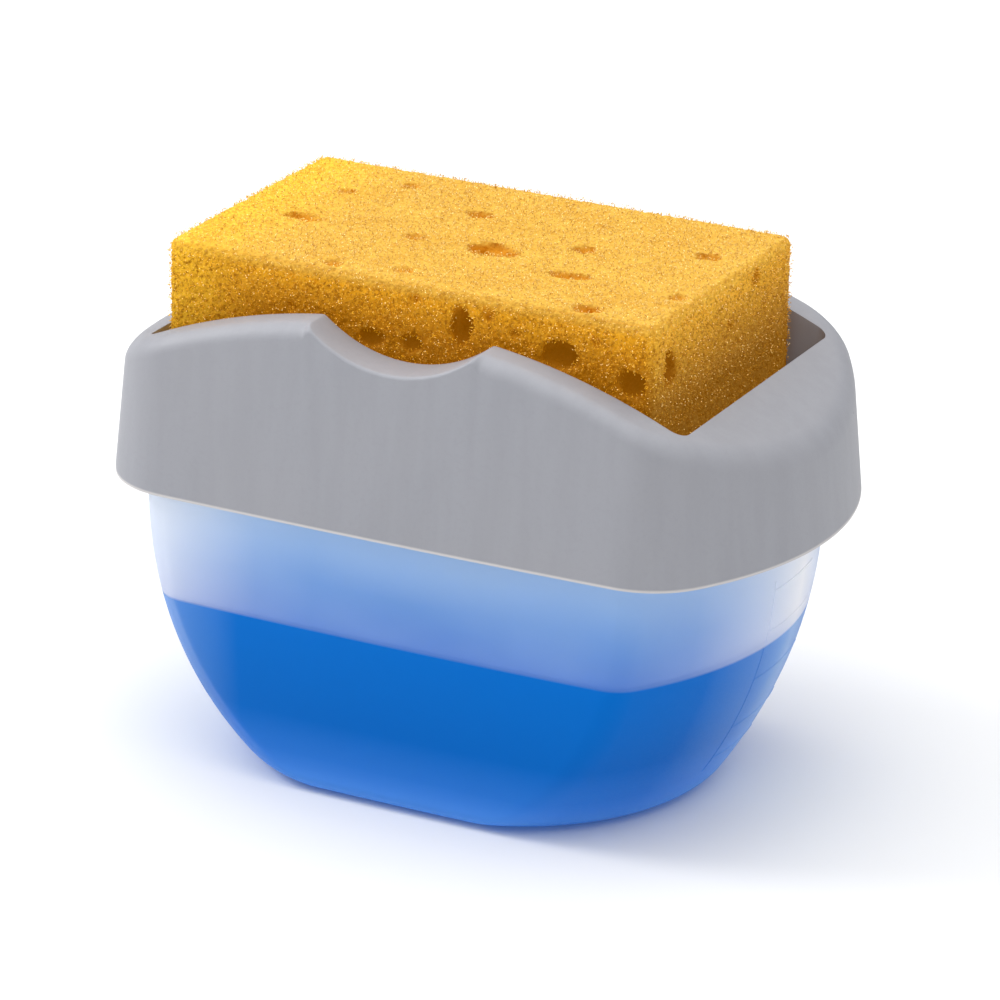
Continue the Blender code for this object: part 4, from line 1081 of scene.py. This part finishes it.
def make_pores():
    """The pores as ragged balls."""
    bm = bmesh.new()
    for place, radii in pore_places():
        ball = bmesh.ops.create_icosphere(bm, subdivisions=3, radius=1)["verts"]
        for vert in ball:
            spot = vert.co * PORE_RAGGED_SCALE + Vector(place) * PORE_RAGGED_SHIFT
            ragged = 1 + PORE_RAGGED_SHARE * noise.noise(spot)
            vert.co = Vector(c * r * ragged + p for c, r, p in zip(vert.co, radii, place))
    return new_object("sponge_pores", bm)


def vectors(mesh, field):
    """A mesh's points or normals as rows."""
    values = np.empty(len(mesh.vertices) * 3)
    mesh.vertices.foreach_get(field, values)
    return values.reshape(-1, 3)


def paint(mesh, name, values):
    """Keep a value per point, for the material."""
    mesh.attributes.new(name, "FLOAT", "POINT").data.foreach_set("value", values)


def make_sponge(material, strut_material, glint_material):
    """A foam block with worn edges, open pores and ragged cells, under a net of fine struts."""
    low = SPONGE_LOW + SPONGE_GROWTH_LOW + Vector((1, 1, 0)) * SPONGE_CORE_INSET
    high = SPONGE_HIGH + SPONGE_GROWTH_HIGH - Vector((1, 1, 1)) * SPONGE_CORE_INSET
    middle, size = (low + high) / 2, high - low
    bm = bmesh.new()
    block = Matrix.Translation(middle) @ Matrix.Diagonal((*size, 1))
    bmesh.ops.create_cube(bm, size=1, matrix=block)
    item = new_object("sponge_fine", bm, material)
    rounds = item.modifiers.new("Worn edges", "BEVEL")
    rounds.width = SPONGE_EDGE_ROUND
    rounds.segments = WORN_EDGE_STEPS
    boolean(item, make_pores(), "DIFFERENCE")
    remesh = item.modifiers.new("Foam", "REMESH")
    remesh.mode = "VOXEL"
    remesh.voxel_size = SPONGE_VOXEL
    settle(item)
    mesh = item.data
    places, normals = vectors(mesh, "co"), vectors(mesh, "normal")
    inside = np.minimum(places - np.array(low), np.array(high) - places).min(axis=1)
    depth = np.clip(inside / PORE_SHADE_DEPTH, 0, 1)
    paint(mesh, "pore_depth", depth)
    pits = np.empty(len(places))
    for i, place in enumerate(places):
        distances, _ = noise.voronoi(Vector(place) / FOAM_CELL)
        pits[i] = min((distances[1] - distances[0]) * FOAM_CELL_STEEPNESS, 1)
    move = -pits * FOAM_CELL_DEPTH
    move[places[:, 2] < low.z + SPONGE_CORE_INSET] = 0
    mesh.vertices.foreach_set("co", (places + normals * move[:, None]).ravel())
    mesh.update()
    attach(item, "sponge")
    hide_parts("sponge")
    open_side = places[:, 2] > low.z + 2 * SPONGE_CORE_INSET
    make_struts(
        places[open_side], normals[open_side], depth[open_side], strut_material, glint_material)


def make_struts(places, normals, depth, material, glint_material):
    """Fine struts over the foam: links between nodes, cut ends that stick out, and glints."""
    draw = np.random.default_rng(STRUT_SEED)
    kept = draw.random(len(places)) > depth * STRUT_PORE_FALL
    shown = places[:, 2] > STRUT_SHOWN_Z
    kept &= shown | (draw.random(len(places)) < STRUT_HIDDEN_SHARE)
    chosen = draw.permutation(np.flatnonzero(kept))[:STRUT_NODES]
    out = draw.uniform(*STRUT_REACH_SHARES, (len(chosen), 1))
    nodes = places[chosen] + normals[chosen] * out * STRUT_REACH
    nodes += draw.uniform(-1, 1, nodes.shape) * STRUT_JITTER
    tree = kdtree.KDTree(len(nodes))
    for i, node in enumerate(nodes):
        tree.insert(node, i)
    tree.balance()
    pairs = set()
    for i, node in enumerate(nodes):
        for _, j, distance in tree.find_n(node, STRUTS_PER_NODE):
            if i != j and distance < STRUT_LONGEST:
                pairs.add((min(i, j), max(i, j)))
    pairs = draw.permutation(np.array(sorted(pairs)))[:STRUT_LINKS]
    roots = draw.permutation(np.flatnonzero(kept))[:BRISTLES]
    lean = normals[roots] + draw.normal(size=(len(roots), 3)) * BRISTLE_LEAN
    lean /= np.linalg.norm(lean, axis=1)[:, None]
    lean *= draw.uniform(BRISTLE_SHORTEST, BRISTLE_LONGEST, (len(roots), 1))
    start = np.concatenate((nodes[pairs[:, 0]], places[roots] - normals[roots] * BRISTLE_ROOT))
    end = np.concatenate((nodes[pairs[:, 1]], places[roots] + lean))
    radius = STRUT_RADIUS * draw.uniform(*STRUT_RADIUS_SHARES, len(start))
    add_spindles("sponge_struts", start, end, radius, material, {
        "strut_tone": draw.random(len(start)),
        "pore_depth": np.concatenate((depth[chosen][pairs[:, 0]], depth[roots]))})
    lit = draw.permutation(len(nodes))[:GLINTS]
    turn = draw.normal(size=(GLINTS, 3))
    turn *= GLINT_LENGTH / 2 / np.linalg.norm(turn, axis=1)[:, None]
    radius = GLINT_RADIUS * draw.uniform(*GLINT_RADIUS_SHARES, GLINTS)
    add_spindles(
        "sponge_glints", nodes[lit] - turn, nodes[lit] + turn, radius, glint_material,
        {"pore_depth": depth[chosen][lit]})


def add_spindles(name, start, end, radius, material, tones):
    """Many small closed bars in one mesh, each thickest in its middle, with a value per bar."""
    along = end - start
    along /= np.linalg.norm(along, axis=1)[:, None]
    across = np.cross(along, (0.36, 0.48, 0.8))
    across /= np.linalg.norm(across, axis=1)[:, None]
    other = np.cross(along, across)
    corners = [start, end]
    for angle in (0, 2 * math.pi / 3, 4 * math.pi / 3):
        out = across * math.cos(angle) + other * math.sin(angle)
        corners.append((start + end) / 2 + out * radius[:, None])
    count, size = len(start), len(corners)
    shape = np.array([(0, 3, 2), (0, 4, 3), (0, 2, 4), (1, 2, 3), (1, 3, 4), (1, 4, 2)])
    loops = np.arange(count)[:, None] * size + shape.ravel()
    mesh = bpy.data.meshes.new(name)
    mesh.vertices.add(count * size)
    mesh.vertices.foreach_set("co", np.stack(corners, axis=1).ravel())
    mesh.loops.add(loops.size)
    mesh.loops.foreach_set("vertex_index", loops.ravel())
    mesh.polygons.add(count * len(shape))
    mesh.polygons.foreach_set("loop_start", np.arange(0, loops.size, 3))
    mesh.update(calc_edges=True)
    mesh.materials.append(material)
    for tone, values in tones.items():
        paint(mesh, tone, np.repeat(values, size))
    item = link_object(name, mesh)
    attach(item, "sponge")


# Return spring

def make_spring(material):
    """The return spring with close end turns, as a closed wire."""
    low, high = SPRING_LOW.z + SPRING_WIRE_RADIUS, SPRING_HIGH.z - SPRING_WIRE_RADIUS
    pitch = (high - low - 2 * SPRING_END_PITCH) / (SPRING_TURNS - 2)
    bm = bmesh.new()
    rows = []
    steps = round(SPRING_TURNS * SPRING_STEPS_PER_TURN)
    for i in range(steps + 1):
        turn = SPRING_TURNS * i / steps
        z = low + SPRING_END_PITCH * (min(turn, 1) + max(turn - (SPRING_TURNS - 1), 0))
        z += pitch * min(max(turn - 1, 0), SPRING_TURNS - 2)
        out = Vector((math.cos(math.tau * turn), math.sin(math.tau * turn), 0))
        row = []
        for k in range(SPRING_WIRE_SIDES):
            angle = math.tau * k / SPRING_WIRE_SIDES
            across = out * math.cos(angle) + Vector((0, 0, math.sin(angle)))
            place = out * SPRING_MEAN_RADIUS + across * SPRING_WIRE_RADIUS
            row.append(bm.verts.new(place + Vector((0, 0, z))))
        rows.append(row)
    for near, far in zip(rows, rows[1:]):
        for k in range(SPRING_WIRE_SIDES):
            j = (k + 1) % SPRING_WIRE_SIDES
            bm.faces.new((near[k], near[j], far[j], far[k]))
    bm.faces.new(rows[0])
    bm.faces.new(rows[-1])
    bmesh.ops.recalc_face_normals(bm, faces=bm.faces)
    item = new_object("return_spring_fine", bm, material)
    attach(item, "cover")
    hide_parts("return_spring")
    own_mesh(item)


# Stage, light and camera

def make_stage():
    """A pale floor."""
    bm = bmesh.new()
    bmesh.ops.create_grid(bm, x_segments=1, y_segments=1, size=FLOOR_HALF_SIZE)
    material, shader, place = new_material("pale_floor")
    color = grey_ramp(noise_value(place, 3), (0.3, 0.80), (0.7, 0.82))
    set_inputs(shader, Base_Color=color, Roughness=0.9)
    new_object("floor", bm, material)


def make_light():
    """A soft dome, brightest overhead, before an even backdrop, and one small key from the left."""
    world = bpy.data.worlds.new("studio")
    world.use_nodes = True
    nodes = world.node_tree.nodes
    place = nodes.new("ShaderNodeTexCoord").outputs["Generated"]
    dome = grey_ramp(coordinate(place, "Z"), *DOME_SHARES)
    seen = nodes.new("ShaderNodeLightPath").outputs["Is Camera Ray"]
    color = blend_colors(seen, dome, BACKDROP)
    set_inputs(nodes["Background"], Color=color, Strength=DOME_STRENGTH)
    bpy.context.scene.world = world
    light = bpy.data.lights.new("key", "AREA")
    light.size = KEY_SIZE
    light.energy = KEY_POWER
    item = link_object("key", light)
    item.location = KEY_PLACE
    item.rotation_euler = (KEY_AIM - KEY_PLACE).to_track_quat("-Z", "Y").to_euler()
    bpy.context.scene.view_settings.view_transform = "Standard"


def make_camera():
    """The photograph's camera."""
    az, el, roll = CAMERA_AZIMUTH, CAMERA_ELEVATION, CAMERA_ROLL
    back = Vector((math.sin(az) * math.cos(el), -math.cos(az) * math.cos(el), math.sin(el)))
    right = Vector((math.cos(az), math.sin(az), 0))
    up = back.cross(right)
    turned_right = right * math.cos(roll) + up * math.sin(roll)
    turned_up = up * math.cos(roll) - right * math.sin(roll)
    place = back * CAMERA_DISTANCE - turned_right * CAMERA_RIGHT - turned_up * CAMERA_UP
    place += Vector((0, 0, COVER_Z))
    camera = bpy.data.cameras.new("camera")
    camera.lens = CAMERA_FOCAL_PIXELS / PHOTO_WIDTH_PIXELS * SENSOR_WIDTH
    camera.sensor_width = SENSOR_WIDTH
    item = link_object("camera", camera)
    turn = Matrix((turned_right, turned_up, back)).transposed()
    item.matrix_world = Matrix.Translation(place) @ turn.to_4x4()
    bpy.context.scene.camera = item


make_camera()
make_light()
make_stage()

grey = grey_plastic()
frosted = frosted_plastic()
soap = blue_soap()
foam = amber_foam()
make_cover(grey)
make_reservoir(frosted)
make_soap(soap)
make_sponge(foam, amber_struts(), amber_glints())
steel = plain_plastic("spring_steel_fine", (0.62, 0.63, 0.64), 0.3, 900, 1)
make_spring(steel)

finishes = {
    "grey_plastic": grey,
    "frosted_plastic": frosted,
    "blue_soap": soap,
    "amber_foam": foam,
    "silicone": plain_plastic("silicone_fine", (0.72, 0.74, 0.76), 0.6),
    "pale_plastic": plain_plastic("pale_plastic_fine", (0.80, 0.81, 0.82), 0.4),
    "spring_steel": steel,
    "glass_ball": plain_plastic("glass_ball_fine", (0.72, 0.78, 0.78), 0.08),
}
for part in frame["record"]["subparts"]:
    mesh = frame["nodes"][part["node"]].data
    mesh.materials.clear()
    mesh.materials.append(finishes[part["material_slot"]])

bpy.context.view_layer.update()
